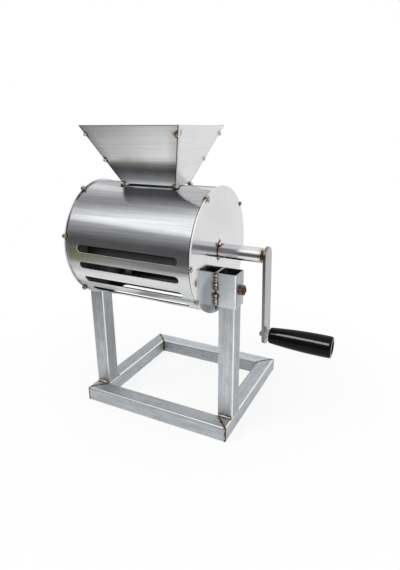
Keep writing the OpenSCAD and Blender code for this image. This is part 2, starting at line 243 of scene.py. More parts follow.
# %% Spread the floor
FLOOR_ACROSS = 14.0
SHADOW_CENTRE = Vector((0.0, 0.1, 0.0))
SHADOW_ZONE, ALL_WHITE = 0.15, 0.45
WHITE_NEAR_MACHINE, WHITE_IN_MIRRORS = 0.85, 0.45
SEEN_WHITE = (1.0, 1.0, 1.0, 1.0)
PAPER_COLOUR, PAPER_ROUGHNESS, PAPER_GLOSS = (0.88, 0.88, 0.88, 1), 0.9, 0.1


def seen_directly(tree):
    """1 for rays from the camera, from shiny surfaces and through clear ones, otherwise 0."""
    path = wire(tree, "LightPath", {}).outputs
    shiny = either(tree, path["Is Camera Ray"], path["Is Glossy Ray"])
    return either(tree, shiny, path["Is Transmission Ray"])


floor_mesh = bpy.data.meshes.new("floor")
shape = bmesh.new()
bmesh.ops.create_grid(shape, x_segments=8, y_segments=8, size=FLOOR_ACROSS / 2)
shape.to_mesh(floor_mesh)
shape.free()
floor = bpy.data.objects.new("floor", floor_mesh)
bpy.context.collection.objects.link(floor)

floor_paper, tree, paper, place = start_finish("floor_paper", metallic=0.0)
paper.inputs["Base Color"].default_value = PAPER_COLOUR
paper.inputs["Roughness"].default_value = PAPER_ROUGHNESS
paper.inputs["Specular IOR Level"].default_value = PAPER_GLOSS
far_out = length_of(tree, combine(tree, "SUBTRACT", place, SHADOW_CENTRE))
from_camera = wire(tree, "LightPath", {}).outputs["Is Camera Ray"]
nearby = rescale(tree, from_camera, 0.0, 1.0, WHITE_IN_MIRRORS, WHITE_NEAR_MACHINE)
whiteness = rescale(tree, far_out, SHADOW_ZONE, ALL_WHITE, nearby, 1.0)
share = overlap(tree, whiteness, seen_directly(tree))
glow = wire(tree, "Emission", {"Color": SEEN_WHITE, "Strength": 1.0})
sheet = wire(tree, "MixShader", {0: share, 1: paper.outputs["BSDF"], 2: glow.outputs["Emission"]})
tree.links.new(sheet.outputs["Shader"], tree.nodes["Material Output"].inputs["Surface"])
floor_mesh.materials.append(floor_paper)
print("floor is", FLOOR_ACROSS, "m across")


# %% [markdown]
# The air around the machine. The camera and every shiny surface see plain white in the distance.
# Matt surfaces and the floor get a softer grey from it, so that the lamps can still shape them.

# %% Colour the world
AMBIENT = 0.55
world = bpy.data.worlds.new("studio_air")
world.use_nodes = True
tree = world.node_tree
direct = seen_directly(tree)
strength = rescale(tree, direct, 0.0, 1.0, AMBIENT, 1.0)
air = tree.nodes["Background"]
air.inputs["Color"].default_value = SEEN_WHITE
tree.links.new(strength, air.inputs["Strength"])
bpy.context.scene.world = world
print("ambient level:", AMBIENT)


# %% [markdown]
# Bright metal has hardly any colour of its own: it shows the room. In the picture the drum carries
# a pale belt from the floor, a dark belt, a white band and a grey crown, which are the floor's
# edge, the dark lower part of a room, a bright soft window and a ceiling. Studios make the same
# with dark cloths and curtains just outside the picture. Each screen here is a cloth that starts on
# the floor and rises into a curtain. Its brightness depends on how high and how far round it is
# seen from the drum. The largest one also has what a room has: boards in the shade, a wall at the
# side and, low down on the far left, the green of a garden that the drum of the picture mirrors.
# Painting them on a screen takes one mesh where building the room would take dozens. The screens
# show only in reflections: they light nothing, cast no shadow and never hide the machine.

# %% Shape the reflection screens
VIEW_POINT = Vector((0.0, 0.03, 0.25))
CURTAIN_DISTANCE = 2.6
CLOTH_HEIGHT = 0.004
SCREEN_COLUMNS, SCREEN_ROWS = 24, 40


def screen_point(turn, rise):
    """The point of a screen seen from the drum at these angles, on the curtain or on the floor."""
    reach = CURTAIN_DISTANCE * math.cos(rise)
    if rise < 0:
        reach = min(reach, (VIEW_POINT.z - CLOTH_HEIGHT) / math.tan(-rise))
    flat = Vector((math.sin(turn), -math.cos(turn), 0)) * reach
    return VIEW_POINT + flat + Vector((0, 0, reach * math.tan(rise)))


def screen_mesh(name, turns, rises):
    """A grid of screen points between two angles round and two angles up, in degrees."""
    mesh = bpy.data.meshes.new(name)
    cloth = bmesh.new()
    columns = range(SCREEN_COLUMNS + 1)
    spread = [math.radians(turns[0] + (turns[1] - turns[0]) * i / SCREEN_COLUMNS) for i in columns]
    grid = []
    for j in range(SCREEN_ROWS + 1):
        rise = math.radians(rises[0] + (rises[1] - rises[0]) * j / SCREEN_ROWS)
        grid.append([cloth.verts.new(screen_point(turn, rise)) for turn in spread])
    for lower, upper in zip(grid, grid[1:]):
        for i in range(SCREEN_COLUMNS):
            cloth.faces.new((lower[i], lower[i + 1], upper[i + 1], upper[i]))
    cloth.to_mesh(mesh)
    cloth.free()
    return mesh


print("screens hang", CURTAIN_DISTANCE, "m from the drum")


# %% Shade a screen by the angle that it is seen at
COOL_BLUE = 1.02


def between(tree, angle, low, high, new_low=0.0, new_high=1.0):
    """rescale for an angle, with its limits in degrees."""
    return rescale(tree, angle, math.radians(low), math.radians(high), new_low, new_high)


def grey_ramp(tree, angle, stops, brightest):
    """A ramp of greys through (degrees, brightness) stops."""
    first, last = stops[0][0], stops[-1][0]
    greys = []
    for degrees, tone in stops:
        grey = tone / brightest
        greys.append(((degrees - first) / (last - first), (grey, grey, grey * COOL_BLUE)))
    return ramp_of(tree, between(tree, angle, first, last), greys)


print("greys of a screen are this much bluer:", COOL_BLUE)


# %% Paint the room on a screen
FLOOR_SHADE = [(-75, 1.0), (-40, 1.0), (-34, 0.76), (-26, 0.42), (-15, 0.40), (10, 0.40)]
WARM_BOARDS = (1.0, 0.99, 0.955, 1)
LAWN_GREEN = (0.21, 0.225, 0.10)
SIDE_WALL = (0.42, 0.42, 0.43, 1)
SILL = math.radians(30)
UNDER_SILL, OVER_SILL = SILL - 0.02, SILL + 0.03


def paint_room(tree, colour, turn, rise, brightest):
    """Lays the room over colour: shaded boards, a garden and a side wall under the sill."""
    shade = grey_ramp(tree, turn, FLOOR_SHADE, 1.0)
    boards = overlap(tree, between(tree, rise, -16, -24), between(tree, rise, -29, -25.5))
    colour = blend_colours(tree, boards, colour, shade, "MULTIPLY")
    colour = blend_colours(tree, between(tree, rise, -22, -30), colour, WARM_BOARDS, "MULTIPLY")
    far_left = between(tree, turn, -36, -43, 0.0, 0.85)
    far_left = overlap(tree, far_left, between(tree, turn, -66, -56))
    below = overlap(tree, between(tree, rise, -3, -10), between(tree, rise, -26, -20))
    garden = overlap(tree, far_left, below)
    lawn = [level / brightest for level in LAWN_GREEN]
    colour = blend_colours(tree, garden, colour, (*lawn, 1))
    under_sill = rescale(tree, rise, OVER_SILL, UNDER_SILL, 0.0, 1.0)
    side = overlap(tree, between(tree, turn, -70, -84), under_sill)
    return blend_colours(tree, side, colour, SIDE_WALL)


def screen_cloth(name, by_rise, window):
    """The glowing material of a screen."""
    cloth = bpy.data.materials.new(name)
    cloth.use_nodes = True
    tree = cloth.node_tree
    seen = combine(tree, "SUBTRACT", place_on(tree), VIEW_POINT)
    parts = parts_of(tree, seen)
    away = length_of(tree, combine(tree, "MULTIPLY", seen, (1, 1, 0)))
    rise = arithmetic(tree, "ARCTAN2", parts["Z"], away)
    brightest = max(tone for _, tone in by_rise + (window or []))
    colour = grey_ramp(tree, rise, by_rise, brightest)
    if window:
        front = arithmetic(tree, "MULTIPLY", parts["Y"], -1.0)
        turn = arithmetic(tree, "ARCTAN2", parts["X"], front)
        over = rescale(tree, rise, UNDER_SILL, OVER_SILL, 0.0, 1.0)
        colour = blend_colours(tree, over, colour, grey_ramp(tree, turn, window, brightest))
        colour = paint_room(tree, colour, turn, rise, brightest)
    light = wire(tree, "Emission", {"Color": colour, "Strength": brightest})
    tree.links.new(light.outputs["Emission"], tree.nodes["Material Output"].inputs["Surface"])
    return cloth


print("the window's sill is seen", round(math.degrees(SILL)), "degrees up")


# %% Hang the reflection screens
def screen(name, turns, rises, by_rise, window=None):
    """A cloth and curtain. by_rise lists (degrees up, brightness). window lists (degrees round,
    brightness) for what lies above the sill, and a screen with a window shows the room too."""
    mesh = screen_mesh(name, turns, rises)
    piece = bpy.data.objects.new(name, mesh)
    bpy.context.collection.objects.link(piece)
    piece.visible_camera = False
    piece.visible_diffuse = False
    piece.visible_shadow = False
    mesh.materials.append(screen_cloth(name, by_rise, window))
    return piece


dark_room = [
    (-52, 1.05),
    (-36, 1.05),
    (-30, 0.78),
    (-25, 0.52),
    (-20, 0.36),
    (-17, 0.26),
    (-15, 0.13),
    (8, 0.10),
    (13, 0.20),
    (20, 0.36),
    (27, 0.42),
    (30, 0.55),
]
soft_window = [
    (-120, 0.75),
    (-104, 0.50),
    (-92, 0.40),
    (-78, 0.34),
    (-70, 0.50),
    (-63, 0.72),
    (-57, 0.90),
    (-50, 1.32),
    (12, 1.32),
]
screen("room_screen", (-120, 10), (-52, 64), dark_room, soft_window)
photographer = [(-26, 0.75), (-14, 0.45), (0, 0.26), (45, 0.30), (56, 0.8)]
screen("photographer_screen", (10, 52), (-26, 56), photographer)
far_wall = [(-14, 0.80), (-8, 0.40), (10, 0.30), (18, 0.90)]
screen("far_screen", (-182, -150), (-14, 18), far_wall)
dim_wall = [(-14, 0.80), (-8, 0.45), (10, 0.40), (20, 0.62), (44, 0.68), (50, 0.9)]
screen("dim_screen", (-150, -132), (-14, 50), dim_wall)


# %% [markdown]
# Lamps. One large soft box above and to the left is the main light, a second one on the right fills
# the shadows. Both are wide, because a wide lamp near a small object gives a shadow without an
# edge. They are hidden from reflections: the screens and the white air already give the metal its
# highlights. Only the black grip needs one more thin line of light, or it would look like a hole in
# the picture. A long box above it is linked to the grip, so that nothing else shows it, and it adds
# gloss only.

# %% Light the studio
def soft_box(name, place, target, wide, tall, watts):
    """A lamp of that width and height, in metres, at place, aimed at target."""
    lamp_data = bpy.data.lights.new(name, "AREA")
    lamp_data.shape = "RECTANGLE"
    lamp_data.size, lamp_data.size_y = wide, tall
    lamp_data.energy = watts
    lamp = bpy.data.objects.new(name, lamp_data)
    lamp.location = place
    aim = Vector(target) - Vector(place)
    lamp.rotation_euler = aim.to_track_quat("-Z", "Y").to_euler()
    lamp.visible_glossy = False
    bpy.context.collection.objects.link(lamp)
    return lamp


def light_only(lamp, node_name):
    """Makes a lamp shine on one frame piece and on nothing else."""
    receivers = bpy.data.collections.new("lit_by_" + lamp.name)
    receivers.objects.link(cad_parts[node_name])
    lamp.light_linking.receiver_collection = receivers


MACHINE_HEART = (0.0, 0.05, 0.2)
soft_box("main_box", (-0.9, -1.1, 1.5), MACHINE_HEART, 1.1, 1.1, 20)
soft_box("fill_box", (1.3, -0.4, 1.2), MACHINE_HEART, 1.2, 1.2, 9)
LINE_DIRECTION, LINE_DISTANCE = Vector((-0.2, -0.6, 0.775)), 0.9
grip_low, grip_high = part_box("grip")
grip_middle = (grip_low + grip_high) / 2
line_place = grip_middle + LINE_DIRECTION * LINE_DISTANCE
line_lamp = soft_box("grip_line_box", line_place, grip_middle, 0.5, 0.3, 17)
line_lamp.visible_glossy = True
line_lamp.visible_diffuse = False
light_only(line_lamp, "grip")


# %% [markdown]
# Where the welds are. The colours that welding leaves on steel lie round each bead, so the finishes
# need every bead's place. Nothing has to be typed in: the bead pieces are in the frame, and each
# lump of connected faces is one bead. One helper finds the lumps. Another gives their hot spots:
# one in the middle of a tack, and a row of them along a seam.

# %% Find the lumps of a piece
def lumps_of(node_name):
    """The separate lumps of a frame piece, each as a list of points."""
    shape = bmesh.new()
    shape.from_mesh(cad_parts[node_name].data)
    bmesh.ops.remove_doubles(shape, verts=shape.verts, dist=1e-6)
    unseen = set(shape.verts)
    lumps = []
    for start in shape.verts:
        if start not in unseen:
            continue
        unseen.remove(start)
        lump, queue = [], [start]
        while queue:
            corner = queue.pop()
            lump.append(corner.co.copy())
            for edge in corner.link_edges:
                other = edge.other_vert(corner)
                if other in unseen:
                    unseen.remove(other)
                    queue.append(other)
        lumps.append(lump)
    shape.free()
    return lumps


def middle(points):
    """The middle of the box round some points."""
    low = Vector([min(p[i] for p in points) for i in range(3)])
    high = Vector([max(p[i] for p in points) for i in range(3)])
    return (low + high) / 2


print("lumps of the posts' welds:", len(lumps_of("post_welds")))


# %% Give each bead its hot spots
BODY_OF_BEADS = {
    "hopper_tacks": "drum",
    "drum_tacks": "drum",
    "bearing_tacks": "drum",
    "crank_weld": "rotor",
    "post_welds": "stand",
    "left_socket_welds": "drum",
    "right_socket_welds": "drum",
}
SPOT_SPACING = 0.004


def spots_along(points):
    """Spots at even steps along the longest side of a lump: one for a tack, several for a seam."""
    heart = middle(points)
    spans = [max(p[i] for p in points) - min(p[i] for p in points) for i in range(3)]
    longest = spans.index(max(spans))
    width = sorted(spans)[1]
    run = max(0.0, spans[longest] - width)
    count = 1 + round(run / SPOT_SPACING)
    spots = []
    for i in range(count):
        spot = heart.copy()
        if count > 1:
            spot[longest] += run * (i / (count - 1) - 0.5)
        spots.append(spot)
    return spots


bead_lumps = {name: lumps_of(name) for name in BODY_OF_BEADS}
bead_places = {}
for name, lumps in bead_lumps.items():
    bead_places[name] = [spot for lump in lumps for spot in spots_along(lump)]
    print(name, "has", len(lumps), "beads and", len(bead_places[name]), "hot spots")


# %% [markdown]
# Heat tint. Steel that has been hot wears an oxide film: nearly black close to the bead, then
# brown, then straw, fading out within a finger's width. A painted mask could show it, but would
# have to be painted again for each bead. In nodes it is a colour chosen by the distance to the
# nearest hot spot. Fine noise makes the edge of a halo ragged, and broad noise makes some halos
# wider than others, as on real work.

# %% A recipe for heat tint
TACK_HALO = 0.0073
OXIDES = [
    (0.0, (0.07, 0.055, 0.05)),
    (0.46, (0.07, 0.05, 0.04)),
    (0.56, (0.36, 0.22, 0.11)),
    (0.74, (0.66, 0.53, 0.35)),
    (1.0, (0.74, 0.69, 0.58)),
]
RAGGED_SHARE, UNEVEN_SHARE = 0.24, 0.16


def nearest_spot(tree, place, spots):
    """The distance from place to the nearest of the spots, in metres."""
    nearest = None
    for spot in spots:
        gap = distance_between(tree, place, spot)
        nearest = gap if nearest is None else arithmetic(tree, "MINIMUM", nearest, gap)
    return nearest


def heat_tint(tree, place, colour, spots, reach):
    """Lays the oxide colours round the spots over colour. Also gives how burnt a place is."""
    ragged, uneven = RAGGED_SHARE * reach, UNEVEN_SHARE * reach
    shift = rescale(tree, cloudy(tree, place, 160.0, 2.0), 0.3, 0.7, -ragged, ragged)
    heat = rescale(tree, cloudy(tree, place, 21.0, 0.0), 0.3, 0.7, -uneven, uneven)
    noisy = arithmetic(tree, "ADD", shift, heat)
    distance = arithmetic(tree, "ADD", nearest_spot(tree, place, spots), noisy)
    level = rescale(tree, distance, 0.0, reach, 0.0, 1.0)
    oxide = ramp_of(tree, level, OXIDES)
    strength = rescale(tree, level, 0.5, 1.0, 0.88, 0.0)
    return blend_colours(tree, strength, colour, oxide), strength


print("a tack's halo reaches about", round(TACK_HALO * 1000, 1), "mm")


# %% [markdown]
# Stainless sheet. The drum, its two discs and the hopper are cut from one cold-rolled sheet. Its
# rolling marks run lengthwise, so the noise is stretched that way, in colour, in roughness and as a
# whisper of bump. A second, very soft bump stands for the slight waves that thin sheet always has:
# they make long reflections wander. What differs from piece to piece comes in from outside: the hot
# spots of the beads, and short recipes for masks that say where a sheet is dirty, where it gets
# painted shade, and where it is freshly cut, its cut faces painted pale, partly as a highlight.

# %% Clean cold-rolled sheet
def stretched(tree, place, along, fine, coarse):
    """place scaled so that noise draws streaks along one axis: fine across it, coarse along it."""
    scale = [fine, fine, fine]
    scale["xyz".index(along)] = coarse
    return combine(tree, "MULTIPLY", place, tuple(scale))


def darken(tree, colour, mask, tone=0.03):
    """Lays a nearly black, slightly brown colour over colour where mask is 1: grime, seams or
    painted shade.
    """
    return blend_colours(tree, mask, colour, (tone, tone * 0.94, tone * 0.88, 1))


def rolled_sheet(tree, place, along, gloss, tone, streaks):
    """Colour and roughness of the clean sheet, its rolling marks and the smears of hands."""
    marks = cloudy(tree, stretched(tree, place, along, 430.0, 9.0), 1.0, 5.0)
    broad = cloudy(tree, stretched(tree, place, along, 120.0, 5.0), 1.0, 2.0)
    smears = cloudy(tree, place, 26.0, 4.0)
    pale = (tone, tone, tone * 1.005, 1)
    deep = (tone * 0.76, tone * 0.78, tone * 0.81, 1)
    colour = blend_colours(tree, rescale(tree, marks, 0.38, 0.66, 0.0, 0.8 * streaks), pale, deep)
    colour = blend_colours(tree, rescale(tree, broad, 0.4, 0.7, 0.0, 0.4 * streaks), colour, deep)
    colour = blend_colours(tree, rescale(tree, smears, 0.45, 0.7, 0.0, 0.2), colour, deep)
    rough = rescale(tree, broad, 0.3, 0.7, *gloss)
    rough = arithmetic(tree, "ADD", rough, rescale(tree, smears, 0.5, 0.75, 0.0, 0.08))
    return colour, rough, marks, smears


print("sheet helpers ready:", rolled_sheet.__name__)


# %% Smoke, painted shade and relief of the sheet
SMOKE_AND_SHADE_COLOUR = (0.60, 0.64, 0.67, 1)
VEIL_CORE, VEIL_EDGE, VEIL_BILLOW = 0.022, 0.034, 0.004


def add_scaled(tree, value, mask, amount):
    """value plus amount where mask is 1."""
    return arithmetic(tree, "ADD", value, arithmetic(tree, "MULTIPLY", mask, amount))


def smoke_veil(tree, place, colour, centre, smears):
    """A grey veil round one place: welding fumes and painted shade."""
    gap = distance_between(tree, place, centre)
    billow = rescale(tree, smears, 0.3, 0.7, -VEIL_BILLOW, VEIL_BILLOW)
    veil = rescale(tree, arithmetic(tree, "ADD", gap, billow), VEIL_EDGE, VEIL_CORE, 0.0, 1.0)
    return blend_colours(tree, veil, colour, SMOKE_AND_SHADE_COLOUR, "MULTIPLY")


def sheet_relief(tree, shader, marks, grain, waves, place):
    """Rolling marks, and under them the soft waves of thin sheet."""
    rolling = wire(tree, "Bump", {"Height": marks, "Strength": grain, "Distance": 0.0002})
    sockets = {"Height": cloudy(tree, place, 13.0, 1.0), "Strength": waves, "Distance": 0.004}
    sockets["Normal"] = rolling.outputs["Normal"]
    wavy = wire(tree, "Bump", sockets)
    tree.links.new(wavy.outputs["Normal"], shader.inputs["Normal"])


print("smoke fades out", VEIL_EDGE * 1000, "mm from its middle")


# %% The stainless finish
# the tone of the painted shade on inner faces, and their added roughness
INSIDE_SHADE_TONE, INSIDE_ROUGHNESS = 0.07, 0.3
# cut faces are pale and matt from the cutter, and carry a painted highlight
CUT_FACE_AND_HIGHLIGHT_GREY, CUT_ROUGHNESS, CUT_METALLIC = (0.78, 0.78, 0.78, 1), 0.35, 0.35


def stainless(
    name,
    along,
    gloss,
    spots,
    dirt_and_shade,
    cuts,
    reach=TACK_HALO,
    waves=0.15,
    grain=0.05,
    tone=0.72,
    streaks=1.0,
    smoke_and_shade=None,
):
    """Cold-rolled stainless sheet. gloss is (least, most) roughness. dirt is a recipe that gets
    the tree and the place and returns masks of crevices, which turn black with grime and painted
    shade, and of inner faces, which get painted shade. cuts is a recipe for a mask of cut faces,
    painted pale: matt from the cutter, and a painted highlight. smoke is the middle of a grey veil
    of welding fumes and painted shade."""
    finish, tree, shader, place = start_finish(name)
    colour, rough, marks, smears = rolled_sheet(tree, place, along, gloss, tone, streaks)
    colour, burnt = heat_tint(tree, place, colour, spots, reach)
    rough = add_scaled(tree, rough, burnt, 0.15)
    # crevices turn black with grime and painted shade, and inner faces get painted shade
    crevice, shaded_inside = dirt_and_shade(tree, place)
    colour = darken(tree, colour, crevice)
    colour = darken(tree, colour, shaded_inside, INSIDE_SHADE_TONE)
    rough = add_scaled(tree, rough, shaded_inside, INSIDE_ROUGHNESS)
    # a grey veil of welding fumes and painted shade round one place
    if smoke_and_shade:
        colour = smoke_veil(tree, place, colour, smoke_and_shade, smears)
    # cut faces painted pale: matt from the cutter, and a painted highlight
    matt_and_highlight = cuts(tree, place)
    colour = blend_colours(tree, matt_and_highlight, colour, CUT_FACE_AND_HIGHLIGHT_GREY)
    rough = add_scaled(tree, rough, matt_and_highlight, CUT_ROUGHNESS)
    tree.links.new(rescale(tree, matt_and_highlight, 0.0, 1.0, 1.0, CUT_METALLIC), shader.inputs["Metallic"])
    tree.links.new(colour, shader.inputs["Base Color"])
    tree.links.new(rough, shader.inputs["Roughness"])
    sheet_relief(tree, shader, marks, grain, waves, place)
    return finish


print("cut faces get the grey", CUT_FACE_AND_HIGHLIGHT_GREY[0])


# %% Helpers that give frame pieces their finish
def paint(finish, *node_names):
    """Gives frame pieces a finish in place of their plain one."""
    for node_name in node_names:
        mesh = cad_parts[node_name].data
        mesh.materials.clear()
        mesh.materials.append(finish)


def on_side(places, sign):
    """Those of the places that lie on the right (1) or the left (-1)."""
    return [p for p in places if p.x * sign > 0]


NEIGHBOUR_STEP = 0.0022
NEIGHBOURS = [Vector(side) for side in ((1, 0, 0), (-1, 0, 0), (0, 1, -0.5), (0, -1, -0.5))]


def hotter(spots):
    """The same spots with neighbours a step away, so that their halos grow wider."""
    return spots + [spot + side * NEIGHBOUR_STEP for spot in spots for side in NEIGHBOURS]


drum_spots = bead_places["drum_tacks"]
hopper_spots = bead_places["hopper_tacks"]
bearing_spots = bead_places["bearing_tacks"]
print("hot spots on the drum:", len(drum_spots), "on the hopper:", len(hopper_spots))


# %% [markdown]
# The drum's shell. Both its ends vanish in a black joint, partly grime and partly painted shade.
# The cut faces of the upper slots are pale, partly as a painted highlight, and those of the low
# ones are black with painted shade. The inside gets painted shade. Painting such masks by hand
# takes long and goes wrong when the shape changes. Here they follow from the shape: a place nearer
# to the axis than the sheet's outer face is inside, and a face that looks neither straight out nor
# straight in is a cut face.

# %% Measure from the drum's axis
shell_low, shell_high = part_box("drum_shell")
drum_radius = (shell_high.y - shell_low.y) / 2
drum_axis = Vector((0, (shell_low.y + shell_high.y) / 2, shell_low.z + drum_radius))


def from_axis(tree, place):
    """The arrow from the drum's axis straight out to a place."""
    return combine(tree, "MULTIPLY", combine(tree, "SUBTRACT", place, drum_axis), (0, 1, 1))


def distance_from_axis(tree, place):
    """How far a place lies from the drum's axis, in metres."""
    return length_of(tree, from_axis(tree, place))


def distance_from_middle(tree, place):
    """How far out along the drum's axis a place lies, the same to the left and to the right."""
    return unsigned(tree, parts_of(tree, place)["X"])


print("drum is", round(drum_radius * 2000, 1), "mm across")


# %% Masks for the drum's shell
SHEET_THICK = 0.0015
# the black of the end joints (grime and painted shade), and the painted shade on low lips and
# inside
JOINT_BLACK, LIP_SHADE, INSIDE_SHADE = 0.95, 0.93, 0.9
RIGHT_JOINT, LEFT_JOINT = (0.0024, 0.0019), (0.0006, 0.0003)
# Below this height the cut faces of the slots get painted shade
SHADED_LIPS_HEIGHT = drum_axis.z - 0.54 * drum_radius
SHADED_LIPS_FADE = 0.002


def cut_faces(tree, place):
    """1 on the cut faces of the slots and the throat, which do not face straight out or in."""
    arrow = {0: from_axis(tree, place)}
    outward = wire(tree, "VectorMath", arrow, operation="NORMALIZE").outputs["Vector"]
    facing = unsigned(tree, likeness(tree, outward, normal_on(tree)))
    return rescale(tree, facing, 0.7, 0.5, 0.0, 1.0)


def sifting_zone(tree, place):
    """1 below the middle slots, where the lips of the slots get painted shade."""
    height = parts_of(tree, place)["Z"]
    return rescale(tree, height, SHADED_LIPS_HEIGHT, SHADED_LIPS_HEIGHT - SHADED_LIPS_FADE, 0.0, 1.0)


def shell_cuts(tree, place):
    """1 on the cut faces that stay pale: matt from the cutter, and a painted highlight."""
    unshaded = arithmetic(tree, "SUBTRACT", 1.0, sifting_zone(tree, place))
    return overlap(tree, cut_faces(tree, place), unshaded)


def shell_dirt(tree, place):
    """Black joints at the shell's ends (grime and painted shade), painted shade on low lips and
    inside.
    """
    sideways = parts_of(tree, place)["X"]
    # the joints at both ends turn black: grime and painted shade
    right_from, right_full = (shell_high.x - step for step in RIGHT_JOINT)
    left_from, left_full = (shell_low.x + step for step in LEFT_JOINT)
    right_joint = rescale(tree, sideways, right_from, right_full, 0.0, JOINT_BLACK)
    left_joint = rescale(tree, sideways, left_from, left_full, 0.0, JOINT_BLACK)
    # painted shade on the cut faces of the low slots
    lips = overlap(tree, cut_faces(tree, place), sifting_zone(tree, place))
    lips = arithmetic(tree, "MULTIPLY", lips, LIP_SHADE)
    crevice = either(tree, either(tree, right_joint, left_joint), lips)
    # painted shade on the inner face of the shell
    inside = drum_radius - SHEET_THICK
    radius = distance_from_axis(tree, place)
    shaded_inside = rescale(tree, radius, inside + 0.0001, inside + 0.0004, INSIDE_SHADE, 0.0)
    return crevice, shaded_inside


# The cut faces of the slots below this height get painted shade.
print("nuts sift out below", round(SHADED_LIPS_HEIGHT * 1000, 1), "mm")


# %% Finish the drum's shell
FOOT_ZONE = 0.004
foot_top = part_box("hopper_front")[0].z + FOOT_ZONE
front_feet = [spot for spot in hopper_spots if spot.z < foot_top and spot.y < drum_axis.y]
shell_spots = drum_spots + hopper_spots + hotter(front_feet)
drum_sheet = stainless(
    "drum_sheet", "x", (0.13, 0.21), shell_spots, shell_dirt, shell_cuts, tone=0.73, streaks=1.15
)
paint(drum_sheet, "drum_shell")
print("feet of the hopper with a wide halo:", len(front_feet))


# %% [markdown]
# The two discs were cut from a brighter sheet and act nearly as mirrors, so they get hardly any
# marks or waves. What tells that they are sheet and not glass is their sawn rim, painted pale as a
# highlight too, painted shade inside, a wide halo round the tack that got hottest, and a grey veil,
# partly smoke and partly painted shade, behind the socket that was welded on.

# %% Finish the discs
def disc_dirt(tree, place):
    """No crevices, and painted shade on the inner face, as far out as the shell covers it."""
    inner_face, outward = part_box("right_end_plate")[0].x, distance_from_middle(tree, place)
    facing_in = rescale(tree, outward, inner_face + 0.0002, inner_face + 0.0005, 0.95, 0.0)
    radius = distance_from_axis(tree, place)
    covered = rescale(tree, radius, drum_radius - 0.001, drum_radius, 1.0, 0.0)
    return 0.0, overlap(tree, facing_in, covered)


def disc_rim(tree, place):
    """1 on the sawn rim of a disc, painted pale: matt from the saw, and a painted highlight."""
    flat = unsigned(tree, parts_of(tree, normal_on(tree))["X"])
    return rescale(tree, flat, 0.7, 0.3, 0.0, 1.0)


DISC_GLOSS = (0.07, 0.12)
DISC_LOOK = {"waves": 0.04, "grain": 0.01, "tone": 0.695, "streaks": 0.12}
VEIL_BEFORE_SOCKET = 0.014
for side, sign in (("left", -1), ("right", 1)):
    spots = on_side(drum_spots, sign) + on_side(bearing_spots, sign)
    hottest = max((spot for spot in spots if spot.y < drum_axis.y - 0.02), key=lambda spot: spot.z)
    spots = spots + hotter([hottest])
    socket_low, socket_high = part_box(side + "_socket")
    # the middle of a grey veil of welding fumes and painted shade, where the socket is mirrored
    smoke_and_shade = (socket_low + socket_high) / 2
    smoke_and_shade.x = sign * shell_high.x
    smoke_and_shade.y = socket_low.y - VEIL_BEFORE_SOCKET
    look = {"smoke_and_shade": smoke_and_shade, **DISC_LOOK}
    disc_sheet = stainless(
        side + "_disc_sheet", "z", DISC_GLOSS, spots, disc_dirt, disc_rim, **look
    )
    paint(disc_sheet, side + "_end_plate")
    print(side, "disc has", len(spots), "hot spots")


# %% [markdown]
# The hopper. Its front and rear sheets lie over the ends of the side sheets, so each corner shows a
# sheared end, painted pale as a highlight too, beside a black joint of painted shade, and the side
# sheet carries a painted highlight along the corner. The sheets lean, which makes a mask by plain
# height and width useless. So a helper works out how far the corner reaches at each height, from
# the front sheet's own corner points, and the masks go by the distance from there.

# %% Masks for the hopper's corners
SAME_HEIGHT = 0.0005
CORNER_HIGHLIGHT_BAND = (0.0042, 0.0036)
hopper_low, hopper_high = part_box("hopper_front")
hopper_middle = (hopper_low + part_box("hopper_rear")[1]) / 2


def hopper_reach(axis, top):
    """How far the front sheet reaches along x (0) or y (1), at its top or at its foot."""
    corners = [corner.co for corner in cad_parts["hopper_front"].data.vertices]
    heights = [corner.z for corner in corners]
    edge = max(heights) if top else min(heights)
    level = [corner for corner in corners if abs(corner.z - edge) < SAME_HEIGHT]
    return max(abs(corner[axis] - hopper_middle[axis]) for corner in level)


def inside_corner(tree, place, axis):
    """How far a place lies inside the hopper's outer corner, along x (0) or y (1)."""
    parts = parts_of(tree, place)
    sockets = {"Value": parts["Z"], "From Min": hopper_low.z, "From Max": hopper_high.z}
    sockets["To Min"], sockets["To Max"] = hopper_reach(axis, False), hopper_reach(axis, True)
    reach = wire(tree, "MapRange", sockets, clamp=False).outputs["Result"]
    offset = unsigned(tree, arithmetic(tree, "SUBTRACT", parts["XYZ"[axis]], hopper_middle[axis]))
    return arithmetic(tree, "SUBTRACT", reach, offset)


def filed_border(tree, place):
    """1 on the border of a side sheet along each corner, painted pale as a highlight."""
    return rescale(tree, inside_corner(tree, place, 1), *CORNER_HIGHLIGHT_BAND, 0.0, 1.0)


def sheared_ends(tree, place):
    """1 on the sheared ends of the front and rear sheets: a matt cut and a painted highlight on
    each corner.
    """
    sideways = unsigned(tree, parts_of(tree, normal_on(tree))["X"])
    return rescale(tree, sideways, 0.3, 0.5, 0.0, 1.0)


print("hopper's mouth reaches", round(hopper_reach(0, True) * 1000, 1), "mm to either side")


# %% Finish the hopper
# Painted shade down in the throat and in the corner joints; soot beside the corners and under the
# rim
THROAT_SHADE_FROM, THROAT_SHADE_FULL = hopper_low.z + 0.035, hopper_low.z + 0.012
THROAT_SHADE = 0.9
CORNER_JOINT_SHADE, CORNER_SOOT = (0.0015, 0.0011), (0.016, 0.0015)
RIM_SOOT_FROM, RIM_SOOT_FULL = hopper_high.z - 0.0016, hopper_high.z - 0.001
HOPPER_HALO, HOPPER_GLOSS = 0.0086, (0.13, 0.2)


